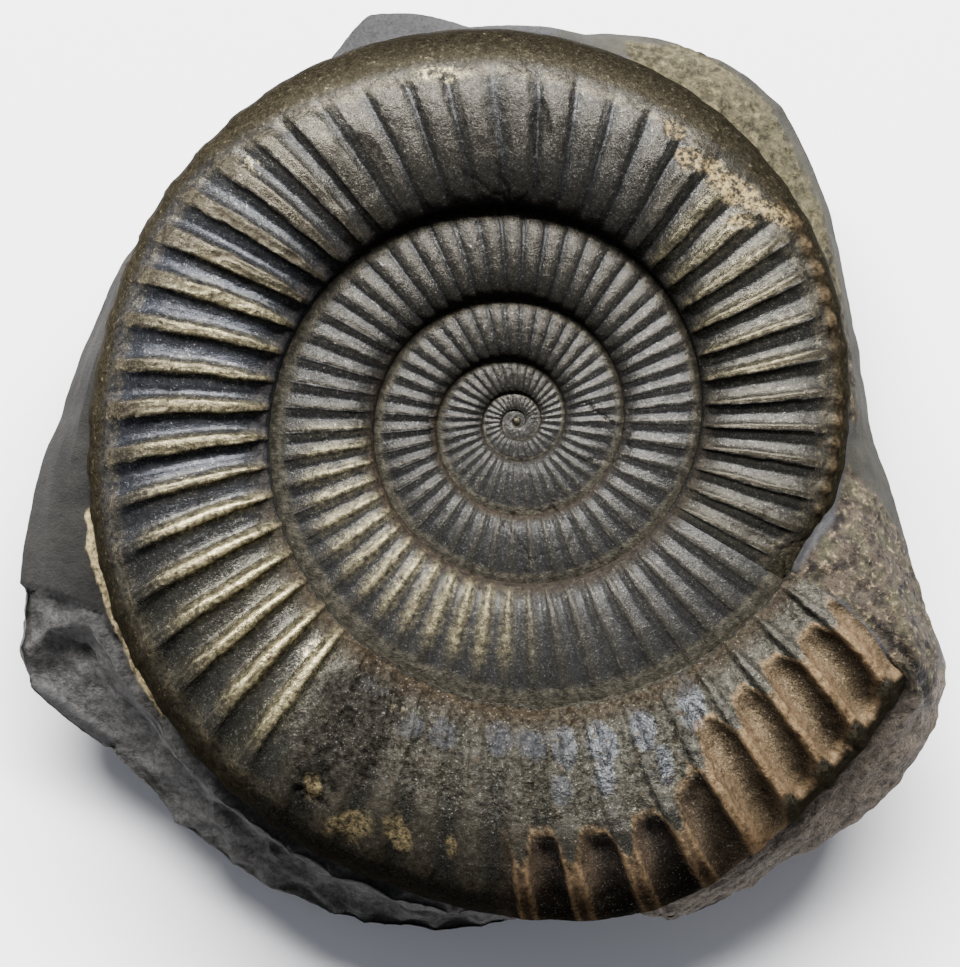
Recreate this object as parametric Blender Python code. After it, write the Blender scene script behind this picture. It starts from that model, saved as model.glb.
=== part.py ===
"""An ammonite fossil lying in its nodule: the ribbed coil of the shell, and the stone that still holds it.

All lengths are in millimetres and are turned into metres when a mesh is made. The coil's axis is the Z axis,
and the stone rests on the plane Z = 0. A place on the coil is given by its turn, which grows by 1 each time
round, and by its share of the way across the whorl, from the inner seam (0) to the outer seam or the rim (1).
"""

import math

import bmesh
import bpy

METRES_PER_MM = 0.001
COLLECTION = "ammonite_fossil"

# The coil
FIRST_TURN = 1.0  # where the ribbed strip starts
LAST_TURN = 5.92  # where the last whorl is broken off
SEAM_FROM_TURN = -0.5
SEAM_STEP = 0.5  # of a turn
SEAM_RADII = (0.35, 0.7, 1.27, 2.03, 2.92, 4.07, 6.78, 9.06, 12.1, 15.6, 20.9, 27.3, 34.0)
RIM_FROM_TURN = LAST_TURN - 1
RIM_RADII = (
    *(27.4, 27.9, 28.3, 29.0, 29.9, 30.7, 31.6, 32.4, 33.3, 34.1, 34.9, 35.4, 35.7),
    *(35.9, 36.4, 37.3, 38.4, 39.4, 40.3, 41.0, 42.3, 43.1, 41.6, 40.5, 39.8),
)  # from the turn where the rim of the whorl inside comes out from under the last whorl
RIM_STEP = 1 / 24  # of a turn
HALF_THICKNESS_SHARE = 0.1175  # of the coil's diameter at that turn
CRUSHED_FROM_TURN = 5.83  # the last whorl sinks towards its broken end
CRUSHED_SHARE = 0.22
SEAM_HEIGHT_SHARE = 0.75  # of the half thickness of the whorl inside the seam
CROWN = 0.40  # the share across the whorl where it stands highest
INNER_ROUNDNESS = 2.5
OUTER_ROUNDNESS = 2.4
COVERED_ROUNDNESS = 2.2
SEAM_GAP = 0.20  # the gap's groove grows over these turns on each side of a seam
INNER_GAP_TURNS = (1.5, 3.0)
OUTER_GAP_TURNS = (0.5, 2.0)
RIM_OPENS_OVER = 0.025  # of a turn

# Ribs: the number of the rib at each turn, between which they are evenly spaced
RIB_ANCHORS = (
    (1.0, 0),
    (2.0, 30),
    (3.0, 69),
    (4.0, 112),
    (5.0139, 168),
    (5.1556, 175),
    (5.2472, 180),
    (5.2708, 181),
    (5.4, 188),
    (5.6389, 201),
    (5.7667, 208),
    (5.9111, 215),
    (5.9317, 216),
)
RIB_HEIGHT_SHARE = 0.22  # of the distance from rib to rib
RIB_HALF_WIDTH = 0.17  # of the distance from rib to rib
PLAIN_LEVEL = 0.45  # where the plain whorl lies between a groove (0) and a rib (1)
RIB_SWEEP = 2 / 360  # of a turn, from the inner seam to the rim of the last whorl
SWEEP_FROM_TURN = 5.05
SWEEP_FULL_TURN = 5.35
BROKEN_END_SWEEP = -5 / 360
BROKEN_END_SWEEP_OVER = 0.12  # of a turn
WORN_RIBS = ((5.17, 5.35, 0.5), (5.65, 5.80, 0.60))  # from a turn, to a turn, what is left of their height
WORN_OVER = 0.02  # of a turn, at each end of a worn stretch
RIB_RISES_OVER = 0.12  # of the way across, at the inner seam
COVERED_RIB_FADES_FROM = 0.9  # of the way across, where the next whorl covers the rim
BARE_RIB_FADES = (0.80, 0.97)  # of the way across, on the last whorl
BARE_RIB_FADE = 0.85  # the share of its height that a rib loses at the bare rim

# Patches near the rim where the outer layer of the shell is gone
PATCH_FROM_TURN = 5.745
PATCH_TO_TURN = 5.915
PATCH_INNER_EDGE = 0.55
PATCH_DEPTH = 0.45
PATCH_EDGE_TURNS = 0.01  # how far the edge of a patch slopes along the whorl
PATCH_EDGE_ACROSS = 0.05
PATCH_FADES_FROM = 0.9  # of the way across

LAST_COLUMN_WIDTH = 0.004  # of a turn, at least
ACROSS = (0.0, 0.06, 0.2, 0.45, 0.7, 0.88, 1.0)
NORMAL_STEP = 0.02  # of the way across, between the points that a slope is read from
SHELL_SHARP_FROM = 35  # degrees between two faces

# How the shell lies in the stone
MIDDLE_HEIGHT = 17.0  # of the shell's middle plane over the resting plane
BURIED_RINGS = ((0.985, 0.35), (0.90, 0.72), (0.72, 0.92))  # share of the rim radius, of the half thickness
UNDERSIDE_SHARE = 0.45  # of the rim radius, where the buried side is flat
UNDERSIDE_DEPTH = 8.2  # under the middle plane
BURIED_COLUMNS = 72
TINY = 1e-6  # radians
GAP = 0.3  # between the shell and its pocket in the stone
BROKEN_END_NEAR = 18.0  # the radius at which the pocket keeps its gap to the broken end
POCKET_TOP = 14.0  # over the middle plane

# The stone: angle, outline radius, outline height, shoulder radius, shoulder height, and height at the shell.
# Heights are over the shell's middle plane.
STONE_ROWS = (
    (0, 30.2, -5.5, 28.9, -2.8, -1.6),
    (8, 29.7, -5.5, 28.8, -2.8, -1.6),
    (16, 29.9, -5.5, 29.1, -2.8, -1.6),
    (24, 30.7, -5.2, 29.8, -2.8, -1.6),
    (31, 31.6, -5.0, 30.6, -2.6, -1.4),
    (42, 33.8, -4.6, 32.0, -2.2, -1.2),
    (50, 35.3, -4.4, 33.2, -2.0, -1.0),
    (60, 35.6, -4.2, 33.6, -1.8, -0.8),
    (70, 35.0, -4.4, 33.4, -2.0, -1.0),
    (80, 33.7, -4.6, 32.8, -2.6, -1.6),
    (97, 34.1, -5.0, 32.8, -3.2, -2.2),
    (104, 36.2, -5.6, 34.4, -4.4, -3.0),
    (110, 37.2, -5.8, 35.2, -4.6, -3.2),
    (117, 35.2, -6.2, 34.2, -4.6, -3.2),
    (130, 34.5, -6.5, 33.4, -4.4, -3.0),
    (148, 35.0, -6.0, 34.0, -3.6, -2.4),
    (158, 36.5, -5.6, 35.0, -2.4, -1.2),
    (169, 37.4, -5.2, 36.0, -1.6, -0.8),
    (179, 39.0, -5.2, 37.2, -1.6, -0.8),
    (189, 42.0, -5.2, 38.6, -1.8, -0.8),
    (199, 45.1, -5.6, 40.0, -2.2, -1.0),
    (205, 47.6, -7.4, 41.0, -2.8, -1.4),
    (209, 47.6, -8.6, 40.6, -3.0, -1.8),
    (218, 45.2, -9.0, 40.6, -2.8, -2.2),
    (230, 45.2, -9.2, 41.2, -2.8, -2.4),
    (244, 45.6, -9.2, 41.9, -3.0, -2.6),
    (253, 45.3, -9.2, 42.4, -3.2, -2.8),
    (262, 44.7, -9.0, 42.8, -4.0, -3.0),
    (268, 43.6, -8.6, 42.4, -4.4, -3.2),
    (275, 42.5, -8.0, 41.6, -4.4, -3.0),
    (283, 42.9, -6.8, 42.0, -3.6, -2.4),
    (287, 45.2, -6.2, 43.6, -3.2, -2.0),
    (302, 44.2, -6.0, 42.8, -3.0, -1.6),
    (310, 44.9, -5.8, 42.2, -2.4, -1.2),
    (317, 45.2, -5.4, 42.0, -1.6, -0.6),
    (324, 44.4, -4.8, 41.6, 0.6, 0.4),
    (328, 43.2, -4.2, 40.2, 3.4, 4.4),
    (331, 42.0, -3.6, 38.6, 3.8, 5.2),
    (335, 38.7, -3.4, 35.6, 3.2, 5.0),
    (340, 35.9, -3.6, 32.6, 2.0, 4.0),
    (345, 34.0, -4.0, 30.8, 0.4, 2.0),
    (351, 32.4, -4.8, 29.6, -1.6, -0.5),
    (357, 30.7, -5.4, 28.8, -2.6, -1.4),
)
STONE_COLUMNS = 90
STONE_SHARP_FROM = 30  # degrees between two faces
BED_SHARE = 0.5  # of the shell's radius, where the stone's upper side under the shell starts
BED_DROP = 0.3  # how much lower it lies there
BED_WIDTH = 4.0  # from where the stone has its height at the shell, out to the shell's rim
FOOT_SHARE = 0.5  # of the way from the shoulder to the outline, where the slope is steepest
FOOT_DROP_SHARE = 0.4  # of the way down from the shoulder to the edge
LEDGE_FROM = 208.0  # degrees, where a second step runs under the edge
LEDGE_TO = 262.0
LEDGE_STARTS_OVER = 4.0
LEDGE_ENDS_OVER = 6.0
LEDGE_DROP = 3.4
LEDGE_FOOT_SHARE = 0.15
BELLY = ((0.985, 0.18), (0.90, 0.45), (0.74, 0.70))  # share of the outline radius, of the way to the base
LUMP_HEIGHT = 0.45
# Each wave of the lumps: times round, shift for each level down, shift, weight
LUMP_WAVES = ((3, 1.3, 0.0, 0.5), (7, -2.1, 0.8, 0.3), (13, 3.7, 2.0, 0.2))
BASE_SHARE = 0.60  # of the outline radius
BASE_LEVEL = 9  # which ring of lumps the base has; the shoulder, foot and edge have 1, 2 and 3


def clear_scene():
    for thing in list(bpy.data.objects):
        bpy.data.objects.remove(thing, do_unlink=True)


def clamp(value, low=0.0, high=1.0):
    return max(low, min(high, value))


def smooth(low, high, value):
    share = clamp((value - low) / (high - low))
    return share * share * (3 - 2 * share)


def through_points(values, place):
    """A smooth curve through evenly spaced values; place counts from 0 at the first one."""
    last = len(values) - 1
    place = clamp(place, 0.0, float(last))
    i = min(int(place), last - 1)
    share = place - i
    before = values[max(i - 1, 0)]
    start = values[i]
    end = values[i + 1]
    after = values[min(i + 2, last)]
    bend = 2 * before - 5 * start + 4 * end - after
    twist = 3 * (start - end) + after - before
    return 0.5 * (2 * start + (end - before) * share + bend * share**2 + twist * share**3)


def between(rows, key, column):
    """Straight-line reading of a column of rows sorted by their first value."""
    if key <= rows[0][0]:
        return rows[0][column]
    for low, high in zip(rows, rows[1:]):
        if key <= high[0]:
            share = (key - low[0]) / (high[0] - low[0])
            return low[column] + share * (high[column] - low[column])
    return rows[-1][column]


def seam_radius(turn):
    logs = [math.log(radius) for radius in SEAM_RADII]
    return math.exp(through_points(logs, (turn - SEAM_FROM_TURN) / SEAM_STEP))


def rim_radius(turn):
    return through_points(RIM_RADII, (turn - RIM_FROM_TURN) / RIM_STEP)


def opening(turn):
    """0 where the next whorl covers the rim, 1 where the rim is bare."""
    return smooth(RIM_FROM_TURN, RIM_FROM_TURN + RIM_OPENS_OVER, turn)


def outer_radius(turn):
    bare = opening(turn)
    return seam_radius(turn) * (1 - bare) + rim_radius(turn) * bare


def half_thickness(turn):
    crushed = CRUSHED_SHARE * smooth(CRUSHED_FROM_TURN, LAST_TURN, turn)
    return HALF_THICKNESS_SHARE * (outer_radius(turn) + outer_radius(turn - 0.5)) * (1 - crushed)


def section_point(turn, across):
    """Radius, and height over the middle plane, of the whorl without its ribs."""
    inner = seam_radius(turn - 1) + SEAM_GAP / 2 * smooth(*INNER_GAP_TURNS, turn)
    outer = outer_radius(turn) - SEAM_GAP / 2 * smooth(*OUTER_GAP_TURNS, turn) * (1 - opening(turn))
    radius = inner + (outer - inner) * across
    top = half_thickness(turn)
    if across < CROWN:
        low = SEAM_HEIGHT_SHARE * half_thickness(turn - 1)
        rise = (1 - (1 - across / CROWN) ** INNER_ROUNDNESS) ** (1 / INNER_ROUNDNESS)
        return radius, low + (top - low) * rise
    reach = (across - CROWN) / (1 - CROWN)
    covered = top * (1 - (1 - SEAM_HEIGHT_SHARE) * reach**COVERED_ROUNDNESS)
    bare = top * max(0.0, 1 - reach**OUTER_ROUNDNESS) ** (1 / OUTER_ROUNDNESS)
    share = opening(turn)
    return radius, covered * (1 - share) + bare * share


def section_normal(turn, across):
    r0, z0 = section_point(turn, max(0.0, across - NORMAL_STEP))
    r1, z1 = section_point(turn, min(1.0, across + NORMAL_STEP))
    length = math.hypot(r1 - r0, z1 - z0)
    return -(z1 - z0) / length, (r1 - r0) / length


def turn_of_rib(number):
    return between([(rib, turn) for turn, rib in RIB_ANCHORS], number, 1)


def rib_of_turn(turn):
    return between(RIB_ANCHORS, turn, 1)


def rib_height(turn, across):
    spacing = turn_of_rib(rib_of_turn(turn) + 0.5) - turn_of_rib(rib_of_turn(turn) - 0.5)
    middle = (seam_radius(turn - 1) + outer_radius(turn)) / 2
    height = RIB_HEIGHT_SHARE * spacing * math.tau * middle
    for low, high, left in WORN_RIBS:
        begun = smooth(low - WORN_OVER, low + WORN_OVER, turn)
        ended = smooth(high - WORN_OVER, high + WORN_OVER, turn)
        height *= 1 - (1 - left) * begun * (1 - ended)
    if opening(turn):
        fade = 1 - BARE_RIB_FADE * smooth(*BARE_RIB_FADES, across)
    else:
        fade = 1 - smooth(COVERED_RIB_FADES_FROM, 1.0, across)
    return height * smooth(0.0, RIB_RISES_OVER, across) * fade


def patch_depth(turn, across):
    along = smooth(PATCH_FROM_TURN, PATCH_FROM_TURN + PATCH_EDGE_TURNS, turn)
    along *= 1 - smooth(PATCH_TO_TURN - PATCH_EDGE_TURNS, PATCH_TO_TURN, turn)
    inside = smooth(PATCH_INNER_EDGE - PATCH_EDGE_ACROSS, PATCH_INNER_EDGE + PATCH_EDGE_ACROSS, across)
    return PATCH_DEPTH * along * inside * (1 - smooth(PATCH_FADES_FROM, 1.0, across))


def swept_turn(turn, across):
    """The last whorl's ribs lean forwards towards the rim, and the broken end leans back."""
    sweep = RIB_SWEEP * smooth(SWEEP_FROM_TURN, SWEEP_FULL_TURN, turn)
    sweep += (BROKEN_END_SWEEP - RIB_SWEEP) * smooth(LAST_TURN - BROKEN_END_SWEEP_OVER, LAST_TURN, turn)
    return turn + sweep * across**2


def shell_point(turn, across, crest):
    """crest is 1 on a rib and 0 between two ribs."""
    place = swept_turn(turn, across)
    radius, height = section_point(place, across)
    out, up = section_normal(place, across)
    lift = rib_height(place, across) * (crest - PLAIN_LEVEL) - patch_depth(place, across)
    radius += out * lift
    height += up * lift + MIDDLE_HEIGHT
    angle = math.tau * place
    return radius * math.cos(angle), radius * math.sin(angle), height


def shell_columns():
    """Each column's turn and whether it stands on a rib, from the first turn to the last."""
    columns = [(FIRST_TURN, PLAIN_LEVEL)]
    for rib in range(1, RIB_ANCHORS[-1][1] + 1):
        flat_top = turn_of_rib(rib) > RIM_FROM_TURN
        crests = (-RIB_HALF_WIDTH, RIB_HALF_WIDTH) if flat_top else (0.0,)
        columns += [(turn_of_rib(rib + offset), 1.0) for offset in crests]
        columns.append((turn_of_rib(rib + 0.5), 0.0))
    columns = [column for column in columns if column[0] < LAST_TURN - LAST_COLUMN_WIDTH]
    return columns + [(LAST_TURN, PLAIN_LEVEL)]


def zip_rows(mesh, first, second):
    """Fills the band between two rows of (place, vertex), advancing on the side that is behind."""
    i = j = 0
    while i < len(first) - 1 or j < len(second) - 1:
        on_first = j == len(second) - 1 or (i < len(first) - 1 and first[i + 1][0] <= second[j + 1][0])
        if on_first:
            mesh.faces.new((first[i][1], first[i + 1][1], second[j][1]))
            i += 1
        else:
            mesh.faces.new((first[i][1], second[j + 1][1], second[j][1]))
            j += 1


def angle_of(vertex):
    return math.atan2(vertex.co.y, vertex.co.x) % math.tau


def broken_end(grown):
    """The angles of the broken end at the rim and at the seam, moved on by a gap for the pocket."""
    shift = grown / BROKEN_END_NEAR
    return math.tau * (swept_turn(LAST_TURN, 1.0) % 1) + shift, math.tau * (LAST_TURN % 1) + shift


def rim_outline(angle, grown=0.0):
    """The shell's outline radius at an angle, rim and broken end included."""
    at_rim, at_seam = broken_end(grown)
    if at_rim < angle < at_seam:
        share = (angle - at_rim) / (at_seam - at_rim)
        return rim_radius(LAST_TURN) * (1 - share) + rim_radius(RIM_FROM_TURN) * share + grown
    turn = angle / math.tau + (5 if angle <= at_rim else 4)
    return rim_radius(turn) + grown


def buried_thickness(angle, grown):
    at_seam = broken_end(grown)[1]
    turn = angle / math.tau + 5
    return half_thickness(min(turn, LAST_TURN) if angle <= at_seam + TINY else turn - 1)


def buried_angles(grown):
    """Evenly spaced, with both ends of the break among them."""
    ends = list(broken_end(grown))
    step = math.tau / BURIED_COLUMNS
    even = [step * i for i in range(BURIED_COLUMNS)]
    return sorted([a for a in even if min(abs(a - end) for end in ends) > step / 3] + ends)


def buried_rings(mesh, grown):
    """The rings of the shell's hidden lower side, grown outwards by a gap for the pocket."""
    rings = []
    for radius_share, depth_share in BURIED_RINGS + ((UNDERSIDE_SHARE, None),):
        row = []
        for angle in buried_angles(grown):
            radius = (rim_outline(angle, grown) - grown) * radius_share + grown
            depth = UNDERSIDE_DEPTH if depth_share is None else buried_thickness(angle, grown) * depth_share
            point = (radius * math.cos(angle), radius * math.sin(angle), MIDDLE_HEIGHT - depth - grown)
            row.append((angle, mesh.verts.new(point)))
        rings.append(row)
    return rings


def closed_row(row):
    return row + [(row[0][0] + math.tau, row[0][1])]


def finish_mesh(mesh, name, collection, sharp_from):
    for vertex in mesh.verts:
        vertex.co *= METRES_PER_MM
    bmesh.ops.recalc_face_normals(mesh, faces=mesh.faces)
    data = bpy.data.meshes.new(name)
    mesh.to_mesh(data)
    mesh.free()
    data.shade_smooth()
    data.set_sharp_from_angle(angle=math.radians(sharp_from))
    thing = bpy.data.objects.new(name, data)
    collection.objects.link(thing)
    return thing


def make_ammonite(collection):
    mesh = bmesh.new()
    columns = shell_columns()
    grid = []
    for turn, crest in columns:
        grid.append([mesh.verts.new(shell_point(turn, across, crest)) for across in ACROSS])
    for left, right in zip(grid, grid[1:]):
        for j in range(len(ACROSS) - 1):
            mesh.faces.new((left[j], left[j + 1], right[j + 1], right[j]))
    # The seam: the outer edge of each whorl is joined to the inner edge of the next one.
    outer_edge = [(swept_turn(turn, 1.0), row[-1]) for (turn, crest), row in zip(columns, grid)]
    inner_edge = [(turn - 1, row[0]) for (turn, crest), row in zip(columns, grid)]
    covered = [item for item in outer_edge if item[0] <= RIM_FROM_TURN]
    following = [item for item in inner_edge if item[0] >= FIRST_TURN]
    zip_rows(mesh, covered, following)
    # The first chamber fills the space inside the first turn.
    heart = mesh.verts.new((0, 0, MIDDLE_HEIGHT + half_thickness(FIRST_TURN)))
    first_turn = [row[0] for (turn, crest), row in zip(columns, grid) if turn - 1 < FIRST_TURN]
    loop = first_turn + [following[0][1]] + grid[0][::-1]
    for a, b in zip(loop, loop[1:]):
        if a is not b:
            mesh.faces.new((heart, a, b))
    # The buried side: from the bare rim and the broken end down to a flat underside.
    bare = [row[-1] for row in grid[len(covered) - 1 :]]
    edge = bare + grid[-1][-2::-1]
    start = covered[-1][0] * math.tau
    row = []
    for vertex in edge:
        row.append(((angle_of(vertex) - start) % math.tau + start, vertex))
    row[0] = (start, edge[0])
    row.append((start + math.tau, edge[0]))
    for below in buried_rings(mesh, 0.0):
        turned = sorted(((angle - start) % math.tau + start, vertex) for angle, vertex in below)
        turned = closed_row(turned)
        zip_rows(mesh, row, turned)
        row = turned
    mesh.faces.new([vertex for angle, vertex in row[:-1]])
    bmesh.ops.triangulate(mesh, faces=[face for face in mesh.faces if len(face.verts) > 4])
    return finish_mesh(mesh, "ammonite", collection, SHELL_SHARP_FROM)


def lump(angle, level):
    """Gentle unevenness of the stone, the same on every run."""
    waves = 0.0
    for times_round, level_shift, shift, weight in LUMP_WAVES:
        waves += weight * math.sin(times_round * angle + level_shift * level + shift)
    return LUMP_HEIGHT * waves


def stone_profile(degrees):
    """The stone's outline at one angle, from under the shell over the edge to the base: (radius, height)."""
    rows = STONE_ROWS + ((360 + STONE_ROWS[0][0],) + STONE_ROWS[0][1:],)
    outline, edge_height, shoulder, shoulder_height, shell_height = (
        between(rows, degrees, column) for column in range(1, 6)
    )
    angle = math.radians(degrees)
    rim = rim_outline(angle)
    on_ledge = smooth(LEDGE_FROM - LEDGE_STARTS_OVER, LEDGE_FROM, degrees)
    on_ledge *= 1 - smooth(LEDGE_TO, LEDGE_TO + LEDGE_ENDS_OVER, degrees)
    foot_share = FOOT_SHARE + (LEDGE_FOOT_SHARE - FOOT_SHARE) * on_ledge
    foot = shoulder + (outline - shoulder) * foot_share
    foot_height = shoulder_height + (edge_height - shoulder_height) * FOOT_DROP_SHARE
    foot_height += (shoulder_height - LEDGE_DROP - foot_height) * on_ledge
    points = [
        (rim * BED_SHARE, shell_height - BED_DROP),
        (rim - BED_WIDTH, shell_height),
        (shoulder, shoulder_height + lump(angle, 1)),
        (foot, foot_height + lump(angle, 2)),
        (outline, edge_height + lump(angle, 3)),
    ]
    for share, down in BELLY:
        radius = outline * share - LUMP_HEIGHT + lump(angle, 10 * down)
        points.append((radius, edge_height - down * (MIDDLE_HEIGHT + edge_height)))
    points.append((outline * BASE_SHARE + lump(angle, BASE_LEVEL), -MIDDLE_HEIGHT))
    return points


def make_pocket_cutter(collection):
    """The shell's hidden side grown by the gap, and drawn straight up past the top of the stone."""
    mesh = bmesh.new()
    row = None
    for height in (POCKET_TOP, 0.0):
        ring = []
        for angle in buried_angles(GAP):
            radius = rim_outline(angle, GAP)
            point = (radius * math.cos(angle), radius * math.sin(angle), MIDDLE_HEIGHT + height)
            ring.append(mesh.verts.new(point))
        if row is None:
            mesh.faces.new(ring)
        else:
            bridge(mesh, row, ring)
        row = ring
    for ring in buried_rings(mesh, GAP):
        below = [vertex for angle, vertex in ring]
        bridge(mesh, row, below)
        row = below
    mesh.faces.new(row[::-1])
    cutter = finish_mesh(mesh, "pocket_cutter", collection, SHELL_SHARP_FROM)
    cutter.hide_render = True
    cutter.display_type = "WIRE"
    return cutter


def bridge(mesh, upper, lower):
    for i, vertex in enumerate(upper):
        after = (i + 1) % len(upper)
        mesh.faces.new((vertex, lower[i], lower[after], upper[after]))


def make_matrix_stone(collection, cutter):
    mesh = bmesh.new()
    rings = []
    for i in range(STONE_COLUMNS):
        degrees = 360 * i / STONE_COLUMNS
        angle = math.radians(degrees)
        profile = stone_profile(degrees)
        rings.append(
            [
                mesh.verts.new((radius * math.cos(angle), radius * math.sin(angle), MIDDLE_HEIGHT + height))
                for radius, height in profile
            ]
        )
    for level in range(len(rings[0]) - 1):
        upper = [column[level] for column in rings]
        lower = [column[level + 1] for column in rings]
        bridge(mesh, upper, lower)
    mesh.faces.new([column[0] for column in rings])
    mesh.faces.new([column[-1] for column in rings][::-1])
    stone = finish_mesh(mesh, "matrix_stone", collection, STONE_SHARP_FROM)
    pocket = stone.modifiers.new("pocket", "BOOLEAN")
    pocket.operation = "DIFFERENCE"
    pocket.solver = "EXACT"
    pocket.object = cutter
    return stone


def make_material(name, colour, metallic, roughness):
    material = bpy.data.materials.new(name)
    material.use_nodes = True
    shader = material.node_tree.nodes["Principled BSDF"]
    shader.inputs["Base Color"].default_value = (*colour, 1.0)
    shader.inputs["Metallic"].default_value = metallic
    shader.inputs["Roughness"].default_value = roughness
    material.diffuse_color = (*colour, 1.0)
    return material


def main():
    clear_scene()
    parts = bpy.data.collections.new(COLLECTION)
    cutters = bpy.data.collections.new("cutters")
    bpy.context.scene.collection.children.link(parts)
    bpy.context.scene.collection.children.link(cutters)
    ammonite = make_ammonite(parts)
    ammonite.data.materials.append(make_material("bronze_shell", (0.16, 0.14, 0.11), 0.4, 0.45))
    cutter = make_pocket_cutter(cutters)
    stone = make_matrix_stone(parts, cutter)
    stone.data.materials.append(make_material("grey_shale", (0.11, 0.11, 0.11), 0.0, 0.8))


main()
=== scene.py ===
import math
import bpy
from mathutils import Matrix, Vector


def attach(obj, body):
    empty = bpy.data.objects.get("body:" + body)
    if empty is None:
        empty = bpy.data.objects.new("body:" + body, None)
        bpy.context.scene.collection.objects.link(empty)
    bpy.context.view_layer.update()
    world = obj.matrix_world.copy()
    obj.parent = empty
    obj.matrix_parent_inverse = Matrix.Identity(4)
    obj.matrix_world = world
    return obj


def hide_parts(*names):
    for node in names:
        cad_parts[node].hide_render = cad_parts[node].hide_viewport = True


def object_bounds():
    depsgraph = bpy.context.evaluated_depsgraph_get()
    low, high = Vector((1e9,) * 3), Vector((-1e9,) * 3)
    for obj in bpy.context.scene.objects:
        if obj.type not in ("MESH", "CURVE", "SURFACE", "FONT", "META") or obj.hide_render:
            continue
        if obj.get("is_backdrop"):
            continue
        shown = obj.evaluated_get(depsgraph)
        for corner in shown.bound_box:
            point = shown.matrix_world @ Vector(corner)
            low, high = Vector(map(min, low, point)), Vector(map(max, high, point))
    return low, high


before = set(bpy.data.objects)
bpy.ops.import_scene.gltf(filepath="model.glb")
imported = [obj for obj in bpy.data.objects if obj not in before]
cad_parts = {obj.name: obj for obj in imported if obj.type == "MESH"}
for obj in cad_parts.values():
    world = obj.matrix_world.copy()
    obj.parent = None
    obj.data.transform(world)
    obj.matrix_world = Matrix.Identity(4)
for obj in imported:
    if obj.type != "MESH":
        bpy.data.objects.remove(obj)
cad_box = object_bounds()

import types

import bmesh
import bpy
from mathutils import Matrix

# Lengths are in millimetres until a tree's last step turns them into metres. A place on the coil is its turn
# and its share of the way across the whorl, from the inner seam (0) to the outer seam or the rim (1).
METRES_PER_MM = 0.001
MM_PER_METRE = 1000.0
# The plan is the view straight down on the fossil, divided in small steps. Its y grows towards the front.
PLAN_STEP = 0.0847
PLAN_AXIS = (517, 421)  # where the coil's axis meets the plan

# The coil's rule, as the solids have it
FIRST_TURN = -0.5
SPLIT_RIB = 162.5  # the groove where the inner whorls end and the last whorl begins
LAST_TURN = 5.92
SEAM_FROM_TURN = -0.5
SEAM_STEP = 0.5
SEAM_RADII = (0.35, 0.7, 1.27, 2.03, 2.92, 4.07, 6.78, 9.06, 12.1, 15.6, 20.9, 27.3, 34.0)
INNERMOST_GROWTH = 1.4  # of the logarithm of the radius, for each turn before the first seam radius
RIM_FROM_TURN = LAST_TURN - 1
RIM_STEP = 1 / 24
RIM_RADII = (
    *(27.4, 27.9, 28.3, 29.0, 29.9, 30.7, 31.6, 32.4, 33.3, 34.1, 34.9, 35.4, 35.7),
    *(35.9, 36.4, 37.3, 38.4, 39.4, 40.3, 41.0, 42.3, 43.1, 41.6, 40.5, 39.8),
)
RIM_OPENS_OVER = 0.025
HALF_THICKNESS_SHARE = 0.1175
CRUSHED_FROM_TURN = 5.83
CRUSHED_SHARE = 0.22
SEAM_HEIGHT_SHARE = 0.75
CROWN = 0.40
INNER_ROUNDNESS = 2.5
OUTER_ROUNDNESS = 2.4
COVERED_ROUNDNESS = 2.2
RIB_ANCHORS = (
    *((-0.5, -45), (1.0, 0), (2.0, 30), (3.0, 69), (4.0, 112), (5.0139, 168), (5.1556, 175), (5.2472, 180)),
    *((5.2708, 181), (5.4, 188), (5.6389, 201), (5.7667, 208), (5.9111, 215), (5.9317, 216)),
)
RIB_HEIGHT_SHARE = 0.22
RIB_SWEEP = 2 / 360
SWEEP_FROM_TURN = 5.05
SWEEP_FULL_TURN = 5.35
BROKEN_END_SWEEP = -5 / 360
WORN_RIBS = ((5.17, 5.35, 0.5), (5.65, 5.80, 0.60))
MIDDLE_HEIGHT = 17.0

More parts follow.
